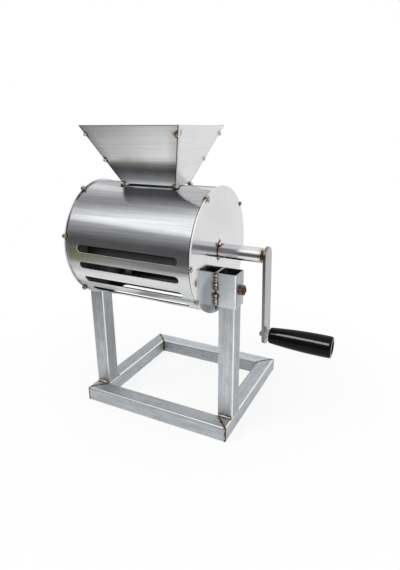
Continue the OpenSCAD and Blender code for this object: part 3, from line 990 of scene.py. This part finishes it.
def side_sheet_dirt(tree, place):
    """Dark sheared edges on top, and painted shade on the inside down in the throat."""
    up = parts_of(tree, normal_on(tree))["Z"]
    inner = rescale(tree, up, 0.1, 0.3, 0.0, 1.0)
    height = parts_of(tree, place)["Z"]
    # painted shade on the inside down in the throat
    deep_down = rescale(tree, height, THROAT_SHADE_FROM, THROAT_SHADE_FULL, 0.0, THROAT_SHADE)
    top_edges = rescale(tree, up, 0.8, 0.95, 0.0, 0.75)
    return either(tree, top_edges, overlap(tree, inner, deep_down)), 0.0


def hopper_dirt(tree, place):
    """The same, with painted shade in the joints down the corners and soot beside them and under
    the rim.
    """
    dark, shaded_inside = side_sheet_dirt(tree, place)
    gap = unsigned(tree, inside_corner(tree, place, 0))
    # painted shade in the joints down the corners
    joint = rescale(tree, gap, *CORNER_JOINT_SHADE, 0.0, 0.9)
    soot = rescale(tree, gap, *CORNER_SOOT, 0.0, 0.3)
    height = parts_of(tree, place)["Z"]
    rim = rescale(tree, height, RIM_SOOT_FROM, RIM_SOOT_FULL, 0.0, 0.6)
    joint = either(tree, either(tree, joint, soot), rim)
    uncut = arithmetic(tree, "SUBTRACT", 1.0, sheared_ends(tree, place))
    return either(tree, dark, overlap(tree, joint, uncut)), shaded_inside


front_look = {"tone": 0.69, "streaks": 0.6}
hopper_sheet = stainless(
    "hopper_sheet", "x", HOPPER_GLOSS, hopper_spots, hopper_dirt, sheared_ends, **front_look
)
paint(hopper_sheet, "hopper_front", "hopper_rear")
side_look = {"reach": HOPPER_HALO, "waves": 0.1, "streaks": 0.35}
side_sheet = stainless(
    "hopper_side_sheet", "y", HOPPER_GLOSS, hopper_spots, side_sheet_dirt, filed_border, **side_look
)
paint(side_sheet, "hopper_left", "hopper_right")
print("stainless finishes:", [m.name for m in bpy.data.materials if m.name.endswith("_sheet")])


# %% [markdown]
# Galvanised tube. The stand and the sockets are square tube with a zinc coat: pale blue-grey,
# satin, with drawing marks along each length and cloudy patches where the zinc lies thicker. Every
# length needs its own direction of streaks, so the recipe takes the axis of the tube, and the beads
# near it. The rounded edges are glossier and painted pale as a highlight, which the direction of a
# face gives away. One face of a tube can get painted light, some tubes are toned darker as painted
# shade, and the bores get painted shade. The rails were welded where they meet at 45 degrees. Those
# seams lie where a place is as far from one edge as from the other.

# %% Glossy edges with a painted highlight, mitre seams and painted shade in the bores
SOCKET_WALL = 0.002
SEAM_TAN = (0.42, 0.31, 0.2, 1)
TAN_FRINGE, BLACK_SEAM, SEAM_WANDER = (0.0045, 0.0018), (0.0019, 0.0012), 0.0012
# the strength of the painted shade in a bore
BORE_SHADE = 0.93


def edge_wear(tree):
    """1 on the rounded edges of a square tube: glossier zinc, painted pale as a highlight."""
    upright = wire(tree, "VectorMath", {0: normal_on(tree)}, operation="ABSOLUTE").outputs["Vector"]
    parts = parts_of(tree, upright)
    widest = arithmetic(tree, "MAXIMUM", parts["X"], parts["Y"])
    widest = arithmetic(tree, "MAXIMUM", widest, parts["Z"])
    return rescale(tree, widest, 0.96, 0.82, 0.0, 0.9)


def mitre_scars(tree, place, colour):
    """The black seams and tan fringes where the rails were welded together at 45 degrees."""
    front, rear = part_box("front_rail"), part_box("rear_rail")
    backward = parts_of(tree, place)["Y"]
    from_end = arithmetic(tree, "SUBTRACT", front[1].x, distance_from_middle(tree, place))
    from_front = arithmetic(tree, "SUBTRACT", backward, front[0].y)
    from_rear = arithmetic(tree, "SUBTRACT", rear[1].y, backward)
    from_edge = arithmetic(tree, "MINIMUM", from_front, from_rear)
    gap = unsigned(tree, arithmetic(tree, "SUBTRACT", from_end, from_edge))
    shift = rescale(tree, cloudy(tree, place, 260.0, 3.0), 0.3, 0.7, -SEAM_WANDER, SEAM_WANDER)
    gap = arithmetic(tree, "ADD", gap, shift)
    colour = blend_colours(tree, rescale(tree, gap, *TAN_FRINGE, 0.0, 0.75), colour, SEAM_TAN)
    return darken(tree, colour, rescale(tree, gap, *BLACK_SEAM, 0.0, 0.95))


def dark_bore(tree, place, colour, node_name):
    """Paints shade on the inside of an upright square tube."""
    low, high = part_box(node_name)
    half_bore = (high.x - low.x) / 2 - SOCKET_WALL
    offset = combine(tree, "SUBTRACT", place, (low + high) / 2)
    offset = wire(tree, "VectorMath", {0: offset}, operation="ABSOLUTE").outputs["Vector"]
    parts = parts_of(tree, offset)
    outermost = arithmetic(tree, "MAXIMUM", parts["X"], parts["Y"])
    bore = rescale(tree, outermost, half_bore + 0.0004, half_bore + 0.0001, 0.0, BORE_SHADE)
    return darken(tree, colour, bore)


print("a socket's wall is", SOCKET_WALL * 1000, "mm")


# %% The galvanised finish
ZINC = {
    "deep": (0.45, 0.475, 0.50),
    "plain": (0.53, 0.55, 0.57),
    "pale": (0.60, 0.62, 0.64),
    "dull": (0.40, 0.43, 0.455),
    "stained": (0.36, 0.39, 0.41),
}
# the pale colour of the painted highlight on the rounded edges
EDGE_HIGHLIGHT_ZINC = (0.92, 0.93, 0.94, 1)
ZINC_HALO = 0.0062


def galvanised(
    name,
    along,
    spots,
    reach=ZINC_HALO,
    tone=1.0,
    mitred=False,
    painted_lit_side=(0, 0, 1),
    painted_light=1.0,
    bore_of=None,
):
    """Zinc-coated square tube whose length runs along one axis. The face towards the given
    direction
    gets painted light: its colour times the given factor. bore_of names an upright tube whose
    inside gets painted shade."""
    zinc = {word: tuple(level * tone for level in colour) for word, colour in ZINC.items()}
    finish, tree, shader, place = start_finish(name)
    streaks = cloudy(tree, stretched(tree, place, along, 620.0, 9.0), 1.0, 3.0)
    clouds = cloudy(tree, stretched(tree, place, along, 200.0, 45.0), 1.0, 2.0)
    stains = cloudy(tree, place, 110.0, 4.0)
    grey = rescale(tree, streaks, 0.3, 0.7, 0.0, 1.0)
    colour = ramp_of(tree, grey, [(0.0, zinc["deep"]), (0.5, zinc["plain"]), (1.0, zinc["pale"])])
    dull = rescale(tree, clouds, 0.45, 0.75, 0.0, 0.45)
    colour = blend_colours(tree, dull, colour, (*zinc["dull"], 1))
    stained = rescale(tree, stains, 0.5, 0.68, 0.0, 0.35)
    colour = blend_colours(tree, stained, colour, (*zinc["stained"], 1))
    rough = rescale(tree, clouds, 0.3, 0.7, 0.42, 0.56)
    # painted light: the face towards the given direction is made paler
    painted_lit_face = rescale(tree, likeness(tree, normal_on(tree), painted_lit_side), 0.5, 0.9, 0.0, 1.0)
    colour = blend_colours(tree, painted_lit_face, colour, (painted_light, painted_light, painted_light, 1), "MULTIPLY")
    # rounded edges: glossier, and painted pale as a highlight
    highlit_edge = edge_wear(tree)
    colour = blend_colours(tree, highlit_edge, colour, EDGE_HIGHLIGHT_ZINC)
    rough = add_scaled(tree, rough, highlit_edge, -0.26)
    if mitred:
        colour = mitre_scars(tree, place, colour)
    # painted shade in the bore
    if bore_of:
        colour = dark_bore(tree, place, colour, bore_of)
    if spots:
        colour, burnt = heat_tint(tree, place, colour, spots, reach)
        rough = add_scaled(tree, rough, burnt, 0.2)
    tree.links.new(colour, shader.inputs["Base Color"])
    tree.links.new(rough, shader.inputs["Roughness"])
    emboss(tree, shader, streaks, 0.06, 0.0002)
    return finish


print("zinc has", len(ZINC), "greys")


# %% Finish the stand and the sockets
FRONT = (0, -1, 0)
SOCKET_HALO = 0.006
# The posts are toned darker by painted shade, the left one more.
POST_SHADE_TONES = {"left": 0.73, "right": 0.9}
foot_spots = bead_places["post_welds"]
paint(galvanised("front_rail_zinc", "x", foot_spots, mitred=True), "front_rail")
# The rear rail is toned darker by painted shade, and its top faces get painted light.
paint(galvanised("rear_rail_zinc", "x", [], tone=0.84, mitred=True, painted_light=1.5), "rear_rail")
for side, sign in (("left", -1), ("right", 1)):
    feet, stitches = on_side(foot_spots, sign), bead_places[side + "_socket_welds"]
    paint(galvanised(side + "_rail_zinc", "y", feet, mitred=True), side + "_rail")
    # painted light on the front faces of the posts
    post_look = {"tone": POST_SHADE_TONES[side], "painted_lit_side": FRONT, "painted_light": 1.35}
    paint(galvanised(side + "_post_zinc", "z", feet, **post_look), side + "_post")
    socket = side + "_socket"
    # painted light on the front faces of the sockets, and painted shade in their bores
    socket_zinc = galvanised(
        socket + "_zinc", "z", stitches, SOCKET_HALO, painted_lit_side=FRONT, painted_light=1.9, bore_of=socket
    )
    paint(socket_zinc, socket)
print("zinc finishes:", [m.name for m in bpy.data.materials if m.name.endswith("_zinc")])


# %% [markdown]
# Bright turned and drawn steel: the bearing tube and its boss, the washer, the pin, the bolt and
# its nut, the crank and the rotor. They could have a material each, but differ only in a few
# values, so they share one recipe with a tone, a roughness and the direction of the marks. Plating
# is a little bluish and cloudy, drawn tube is bright with fine lines, has gone straw-coloured at
# its hot tip and gets painted shade round its foot, and the crank is cut from flat bar whose narrow
# sides are darker.

# %% The bright steel finish
TIP_STRAW = (0.62, 0.47, 0.31, 1)
# a straw tint at a tube's tip, painted shade round its foot, and how far the darker narrow faces go
TIP_TINT, FOOT_SHADE_BAND = (0.0055, 0.0005), (0.0016, 0.0008)
FOOT_SHADE, NARROW_FACE_COVER = 0.92, 0.9


def burnt_ends(tree, place, colour, foot, tip):
    """Painted shade round a tube's foot and a straw tint at its tip, both places along its axis."""
    outward = distance_from_middle(tree, place)
    tint_from, tint_full = (tip - step for step in TIP_TINT)
    straw = rescale(tree, outward, tint_from, tint_full, 0.0, 0.9)
    colour = blend_colours(tree, straw, colour, TIP_STRAW)
    # painted shade round the tube's foot
    joint_from, joint_full = (foot + step for step in FOOT_SHADE_BAND)
    joint = rescale(tree, outward, joint_from, joint_full, 0.0, FOOT_SHADE)
    return darken(tree, colour, joint)


def mill_scale(tree, colour, tone):
    """Darkens to that tone all faces but those square to the drum's axis."""
    flat = unsigned(tree, parts_of(tree, normal_on(tree))["X"])
    return darken(tree, colour, rescale(tree, flat, 0.8, 0.3, 0.0, NARROW_FACE_COVER), tone)


def bright_steel(name, along, tone, gloss, spots=(), grain=0.08, foot_shade_and_tip_tint=None, narrow_face_tone=None):
    """Smooth machine steel. tone is its colour, gloss its (least, most) roughness. burn is
    (foot, tip) of a tube that was welded: painted shade round the foot, a straw tint at the tip.
    narrow_face_tone is the tone of its darker narrow faces."""
    finish, tree, shader, place = start_finish(name)
    marks = cloudy(tree, stretched(tree, place, along, 1400.0, 22.0), 1.0, 4.0)
    clouds = cloudy(tree, place, 140.0, 4.0)
    pale = (*tone, 1)
    deep = (tone[0] * 0.72, tone[1] * 0.74, tone[2] * 0.77, 1)
    colour = blend_colours(tree, rescale(tree, marks, 0.35, 0.72, 0.0, 0.8), pale, deep)
    rough = rescale(tree, clouds, 0.3, 0.7, *gloss)
    if spots:
        colour, burnt = heat_tint(tree, place, colour, spots, TACK_HALO)
        rough = add_scaled(tree, rough, burnt, 0.15)
    if narrow_face_tone:
        colour = mill_scale(tree, colour, narrow_face_tone)
    if foot_shade_and_tip_tint:
        colour = burnt_ends(tree, place, colour, *foot_shade_and_tip_tint)
    tree.links.new(colour, shader.inputs["Base Color"])
    tree.links.new(rough, shader.inputs["Roughness"])
    emboss(tree, shader, marks, grain, 0.00015)
    return finish


print("steel recipe ready:", bright_steel.__name__)


# %% Finish the tubes, the crank and the rotor
DRAWN_TONE, DRAWN_GLOSS = (0.78, 0.78, 0.79), (0.1, 0.18)
PLATED_TONE, PLATED_GLOSS = (0.66, 0.67, 0.68), (0.2, 0.34)
BAR_TONE, BAR_GLOSS, BAR_NARROW_TONE = (0.42, 0.42, 0.415), (0.2, 0.3), 0.2
BLACK_TONE, BLACK_GLOSS = (0.17, 0.165, 0.16), (0.36, 0.5)
tube_low, tube_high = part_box("bearing_tube")
boss_low, boss_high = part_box("bearing_boss")
for name, node_name, ends in (
    ("drawn_tube_steel", "bearing_tube", (tube_low.x, tube_high.x)),
    ("drawn_boss_steel", "bearing_boss", (-boss_high.x, -boss_low.x)),
):
    paint(bright_steel(name, "x", DRAWN_TONE, DRAWN_GLOSS, bearing_spots, foot_shade_and_tip_tint=ends), node_name)
plated = bright_steel("plated_fastener_steel", "x", PLATED_TONE, PLATED_GLOSS)
paint(plated, "shaft_washer", "split_pin", "lock_nut")
bar_look = {"grain": 0.03, "narrow_face_tone": BAR_NARROW_TONE}
paint(bright_steel("crank_bar_steel", "z", BAR_TONE, BAR_GLOSS, **bar_look), "crank_arm")
rotor_steel = bright_steel("rotor_black_steel", "x", BLACK_TONE, BLACK_GLOSS)
beaters = ["beater_" + str(number) for number in (1, 2, 3, 4)]
paint(rotor_steel, "shaft", "left_spider", "right_spider", *beaters)
print("bright steels:", [m.name for m in bpy.data.materials if m.name.endswith("_steel")])


# %% [markdown]
# Bronze bushes. They sit inside the bearing and show only as thin rings, but they still get the
# warm colour of the metal, brown where the oil has stained it. One noise is enough for that: it
# drives the colour and, the other way round, the roughness.

# %% The bronze finish
BUSHES = ("crank_end_bush", "drum_end_bush", "left_bush")
bronze, tree, shader, place = start_finish("turned_bronze")
oil = cloudy(tree, place, 210.0, 4.0)
colour = ramp_of(tree, oil, [(0.35, (0.32, 0.17, 0.07)), (0.6, (0.68, 0.44, 0.2))])
tree.links.new(colour, shader.inputs["Base Color"])
tree.links.new(rescale(tree, oil, 0.3, 0.7, 0.4, 0.24), shader.inputs["Roughness"])
paint(bronze, *BUSHES)
print("bronze on", len(BUSHES), "bushes")


# %% [markdown]
# Rust. The clamp nuts are plain iron that was welded on, and they have rusted: orange on the brown,
# dull, and rough to the touch, with some bare metal left where a spanner rubs. Rust is no metal any
# more, so the metallic value follows the bare patches.

# %% The rusty finish
RUST_COLOURS = [
    (0.3, (0.035, 0.014, 0.008)),
    (0.5, (0.12, 0.042, 0.018)),
    (0.7, (0.28, 0.10, 0.04)),
]
BARE_IRON = (0.50, 0.42, 0.36, 1)
rusted, tree, shader, place = start_finish("rusted_iron")
crust = cloudy(tree, place, 620.0, 6.0)
bare = rescale(tree, cloudy(tree, place, 180.0, 3.0), 0.56, 0.66, 0.0, 0.75)
colour = blend_colours(tree, bare, ramp_of(tree, crust, RUST_COLOURS), BARE_IRON)
tree.links.new(colour, shader.inputs["Base Color"])
tree.links.new(bare, shader.inputs["Metallic"])
tree.links.new(rescale(tree, bare, 0.0, 0.75, 0.72, 0.35), shader.inputs["Roughness"])
emboss(tree, shader, crust, 0.5, 0.0004)
paint(rusted, "left_clamp_nut", "right_clamp_nut")
print("rust has", len(RUST_COLOURS), "browns")


# %% [markdown]
# The grip is turned or moulded black plastic, polished like a file handle. Black plastic is never
# quite black nor quite even: there is a faint flow pattern in its colour and gloss, and the finest
# of scratches run along it.

# %% The black plastic finish
PLASTIC_BLACKS = [(0.3, (0.0025, 0.0025, 0.003)), (0.7, (0.0045, 0.0045, 0.005))]
black_plastic, tree, shader, place = start_finish("polished_black_plastic", metallic=0.0)
flow = cloudy(tree, place, 60.0, 5.0)
scratches = cloudy(tree, stretched(tree, place, "x", 1500.0, 60.0), 1.0, 3.0)
tree.links.new(ramp_of(tree, flow, PLASTIC_BLACKS), shader.inputs["Base Color"])
tree.links.new(rescale(tree, flow, 0.3, 0.7, 0.07, 0.12), shader.inputs["Roughness"])
shader.inputs["Specular IOR Level"].default_value = 0.1
emboss(tree, shader, scratches, 0.02, 0.0001)
paint(black_plastic, "grip")
print("plastic on the grip")


# %% [markdown]
# Weld beads. A tack weld is a small frozen puddle: a silver dome with rings where it cooled, pits,
# and a dark skirt of soot. A bump in the material would leave its outline smooth, and the outline
# is what shows on so small a thing. The frame has each bead as a smooth cap cut to fit its place.
# Here a copy of every bead is divided finely, then each point moves along its normal by rings and
# noise. The copy sits where the frame's bead sits, and stands in for it. Its colour goes by the
# distance from the hot spots: bright on top and burnt at the foot.

# %% The weld metal
WELD_COLOURS = [
    (0.3, (0.06, 0.04, 0.03)),
    (0.41, (0.42, 0.36, 0.29)),
    (0.51, (0.92, 0.9, 0.87)),
]
BURNT_COLOUR, BURNT_COVER = (0.09, 0.055, 0.035, 1), 0.9
BURNT_TACK, BURNT_SEAM = (0.0031, 0.0037), (0.0019, 0.0029)


def weld_metal(name, spots, burnt):
    """Cooled weld metal. burnt is (from, to): how far off the hot spots it turns dark."""
    finish, tree, shader, place = start_finish(name)
    soot = cloudy(tree, place, 420.0, 4.0)
    foot = rescale(tree, nearest_spot(tree, place, spots), *burnt, 0.0, BURNT_COVER)
    colour = blend_colours(tree, foot, ramp_of(tree, soot, WELD_COLOURS), BURNT_COLOUR)
    tree.links.new(colour, shader.inputs["Base Color"])
    tree.links.new(rescale(tree, soot, 0.3, 0.65, 0.5, 0.2), shader.inputs["Roughness"])
    emboss(tree, shader, soot, 0.4, 0.0003)
    return finish


print("tacks are burnt from", BURNT_TACK[0] * 1000, "mm off their middles")


# %% Divide the smooth caps finely
GRAIN_OF_METAL = 0.00045


def divided(node_name):
    """A finely divided copy of a frame piece, as an object and its mesh."""
    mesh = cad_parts[node_name].data.copy()
    beads = bpy.data.objects.new(node_name + "_rippled", mesh)
    bpy.context.collection.objects.link(beads)
    shape = bmesh.new()
    shape.from_mesh(mesh)
    bmesh.ops.remove_doubles(shape, verts=shape.verts, dist=1e-6)
    shape.to_mesh(mesh)
    shape.free()
    divide = beads.modifiers.new("divide", "REMESH")
    divide.mode = "VOXEL"
    divide.voxel_size = GRAIN_OF_METAL
    view_layer = bpy.context.evaluated_depsgraph_get()
    fine = bpy.data.meshes.new_from_object(beads.evaluated_get(view_layer))
    beads.modifiers.clear()
    beads.data = fine
    return beads, fine


print("a divided bead has a corner every", GRAIN_OF_METAL * 1000, "mm")


# %% Turn them into cooled weld metal
RIPPLE_HEIGHT, RIPPLE_RHYTHM = 0.00012, 5200
LUMP_SCALE, PIT_SCALE = 520, 1300


def rippled_beads(node_name, swell, lump_height):
    """A copy of a bead piece with rings, lumps and pits. It stays in the machine's box."""
    beads, fine = divided(node_name)
    middles = [middle(lump) for lump in bead_lumps[node_name]]
    moved = []
    for corner in fine.vertices:
        spot = corner.co
        centre = min(middles, key=lambda m: (m - spot).length_squared)
        rings = math.sin((spot - centre).length * RIPPLE_RHYTHM)
        lumps = noise.noise(spot * LUMP_SCALE) + 0.5 * noise.noise(spot * PIT_SCALE)
        target = spot + corner.normal * (swell + rings * RIPPLE_HEIGHT + lumps * lump_height)
        moved.append([min(max(target[i], cad_low[i]), cad_high[i]) for i in range(3)])
    for corner, spot in zip(fine.vertices, moved):
        corner.co = spot
    for face in fine.polygons:
        face.use_smooth = True
    fine.materials.clear()
    burnt = BURNT_TACK if node_name.endswith("tacks") else BURNT_SEAM
    fine.materials.append(weld_metal(node_name + "_metal", bead_places[node_name], burnt))
    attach(beads, BODY_OF_BEADS[node_name])
    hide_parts(node_name)
    return beads


SWELL_OF_BEADS = {"crank_weld": 0.0001}
LUMPS_OF_BEADS = {"post_welds": 0.0005}
for name in BODY_OF_BEADS:
    beads = rippled_beads(name, SWELL_OF_BEADS.get(name, 0.0005), LUMPS_OF_BEADS.get(name, 0.0002))
    print(beads.name, "has", len(beads.data.polygons), "faces")


# %% [markdown]
# Threads. The grip turns on a long hexagon bolt and the drum is held by two socket set screws, all
# with an 8 mm coarse thread. The frame has them as plain rods. A screw modifier could wind a
# thread, but then has to be joined to the rod and the head. A stack of rings is easier: on each
# ring the radius rises and falls once per turn, and the crest moves on by one ring's height divided
# by the pitch, so that the crests line up into a helix. The same stack carries the chamfers, the
# hexagon head and the hexagon hole, which are rings with six corners.

# %% The rings of a bolt
PITCH, THREAD_DEPTH = 0.00125, 0.00072
RING_POINTS, RINGS_PER_PITCH = 48, 8
RING_ANGLES = [2 * math.pi * k / RING_POINTS for k in range(RING_POINTS)]
FLANK_STEEPNESS, ROOT_SHARE = 1.3, 0.15


def round_ring(height, radius):
    """A round ring, as a list of (radius, angle, height)."""
    return [(radius, angle, height) for angle in RING_ANGLES]


def thread_ring(height, radius):
    """A ring of the thread: its crest lies where the helix passes this height."""
    ring = []
    for k, angle in enumerate(RING_ANGLES):
        phase = (height / PITCH - k / RING_POINTS) % 1.0
        crest = min(max(abs(2 * phase - 1) * FLANK_STEEPNESS - ROOT_SHARE, 0.0), 1.0)
        ring.append((radius - THREAD_DEPTH * (1 - crest), angle, height))
    return ring


def hexagon_radius(angle, across):
    """How far out a hexagon's edge lies in this direction. across is measured over its flats."""
    sixth = math.pi / 3
    return across / 2 / math.cos((angle + sixth / 2) % sixth - sixth / 2)


def hexagon_ring(height, across, limit=1.0):
    """A ring with six corners, cut off at a radius."""
    return [(min(hexagon_radius(angle, across), limit), angle, height) for angle in RING_ANGLES]


print("a ring has", RING_POINTS, "points, a pitch has", RINGS_PER_PITCH, "rings")


# %% Join rings into a bolt
SHARP_ANGLE = math.radians(35)


def skin(name, rings, stand, finish):
    """Joins rings into a closed piece. stand is the matrix that puts its axis in its place."""
    mesh = bpy.data.meshes.new(name)
    shape = bmesh.new()
    loops = []
    for ring in rings:
        spots = [Vector((r * math.cos(a), r * math.sin(a), h)) for r, a, h in ring]
        loops.append([shape.verts.new(stand @ spot) for spot in spots])
    for lower, upper in zip(loops, loops[1:]):
        for k in range(RING_POINTS):
            after = (k + 1) % RING_POINTS
            shape.faces.new((lower[k], lower[after], upper[after], upper[k]))
    shape.faces.new(list(reversed(loops[0])))
    shape.faces.new(loops[-1])
    bmesh.ops.recalc_face_normals(shape, faces=shape.faces)
    for face in shape.faces:
        face.smooth = True
    shape.to_mesh(mesh)
    shape.free()
    mesh.set_sharp_from_angle(angle=SHARP_ANGLE)
    mesh.materials.append(finish)
    piece = bpy.data.objects.new(name, mesh)
    bpy.context.collection.objects.link(piece)
    return piece


def thread_rings(start, end, radius, chamfer=0.0008):
    """The rings of a threaded length with a chamfer at its start."""
    steps = round((end - start) / PITCH * RINGS_PER_PITCH)
    rings = [round_ring(start, radius - chamfer)]
    for i in range(1, steps):
        height = start + (end - start) * i / steps
        cone = radius - chamfer + (height - start)
        rings.append([(min(r, cone), a, h) for r, a, h in thread_ring(height, radius)])
    return rings


print("thread: pitch", PITCH * 1000, "mm, depth", THREAD_DEPTH * 1000, "mm")


# %% Make the bolt of the grip
ROD_RADIUS, FREE_PLAY = 0.004, 0.00002
BOLT_RADIUS = ROD_RADIUS - FREE_PLAY
HEAD_TALL, HEAD_CHAMFER, CHAMFER_SHARE = 0.0053, 0.0008, 0.47
THREAD_ON_BOLT, THREAD_RUNOUT = 0.022, 0.0004
bolt_low, bolt_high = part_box("grip_bolt")
bolt_long = bolt_high.x - bolt_low.x
bolt_middle = (bolt_low + bolt_high) / 2
across_flats = min(bolt_high.y - bolt_low.y, bolt_high.z - bolt_low.z)
corners_level = bolt_high.y - bolt_low.y > bolt_high.z - bolt_low.z
along_x = Matrix.Rotation(math.pi / 2, 4, "Y")
bolt_stand = Matrix.Translation((bolt_low.x, bolt_middle.y, bolt_middle.z)) @ along_x
if corners_level:
    bolt_stand = bolt_stand @ Matrix.Rotation(math.pi / 2, 4, "Z")
neck = bolt_long - HEAD_TALL
bolt_rings = thread_rings(0.0, THREAD_ON_BOLT, BOLT_RADIUS)
bolt_rings.append(round_ring(THREAD_ON_BOLT, BOLT_RADIUS - THREAD_DEPTH))
bolt_rings.append(round_ring(THREAD_ON_BOLT + THREAD_RUNOUT, BOLT_RADIUS))
bolt_rings.append(round_ring(neck, BOLT_RADIUS))
bolt_rings.append(hexagon_ring(neck, across_flats))
bolt_rings.append(hexagon_ring(bolt_long - HEAD_CHAMFER, across_flats))
bolt_rings.append(hexagon_ring(bolt_long, across_flats, across_flats * CHAMFER_SHARE))
threaded_bolt = skin("threaded_grip_bolt", bolt_rings, bolt_stand, plated)
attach(threaded_bolt, "rotor")
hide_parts("grip_bolt")
print("bolt is", round(bolt_long * 1000, 1), "mm long")


# %% Make the set screws of the clamps
SOCKET_ACROSS, SOCKET_DEEP = 0.004, 0.004
TIP_CHAMFER, END_CHAMFER = 0.0014, 0.0006
for side, sign in (("left", -1), ("right", 1)):
    node_name = side + "_clamp_screw"
    screw_low, screw_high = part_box(node_name)
    screw_long = screw_high.x - screw_low.x
    screw_middle = (screw_low + screw_high) / 2
    tip_x = screw_low.x if sign > 0 else screw_high.x
    inward = Matrix.Rotation(sign * math.pi / 2, 4, "Y")
    screw_stand = Matrix.Translation((tip_x, screw_middle.y, screw_middle.z)) @ inward
    screw_rings = thread_rings(0.0, screw_long - END_CHAMFER, BOLT_RADIUS, TIP_CHAMFER)
    screw_rings.append(round_ring(screw_long - END_CHAMFER, BOLT_RADIUS - 0.0002))
    screw_rings.append(round_ring(screw_long, BOLT_RADIUS - 0.0008))
    screw_rings.append(hexagon_ring(screw_long, SOCKET_ACROSS))
    screw_rings.append(hexagon_ring(screw_long - SOCKET_DEEP, SOCKET_ACROSS))
    screw = skin("threaded_" + node_name, screw_rings, screw_stand, rusted)
    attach(screw, side + "_clamp")
    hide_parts(node_name)
    print(screw.name, "has", len(screw.data.polygons), "faces")


# %% [markdown]
# Edges. No real edge is razor sharp: sheared sheet has a tiny radius that catches a line of light,
# and those lines are what tells the eye that metal has thickness. A bevel modifier gives the
# hopper's sheets that radius without touching their meshes.

# %% Round the sharp edges
EDGE_RADIUS, EDGE_STEPS = 0.00025, 2
SHARPER_THAN = math.radians(40)


def soften(*node_names):
    """Rounds the sharp edges of frame pieces by a small bevel."""
    for node_name in node_names:
        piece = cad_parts[node_name]
        bevel = piece.modifiers.new("soft_edge", "BEVEL")
        bevel.width = EDGE_RADIUS
        bevel.segments = EDGE_STEPS
        bevel.limit_method = "ANGLE"
        bevel.angle_limit = SHARPER_THAN
        bevel.harden_normals = False


hopper_sheets = ("hopper_front", "hopper_rear", "hopper_left", "hopper_right")
soften(*hopper_sheets)
print("edges softened on", len(hopper_sheets), "pieces")


# %% [markdown]
# The last step. The box of the dressed machine has to stay the box of the frame. The picture is
# shown with the standard view, so that a colour renders as written.

# %% Set the view transform
bpy.context.scene.view_settings.view_transform = "Standard"
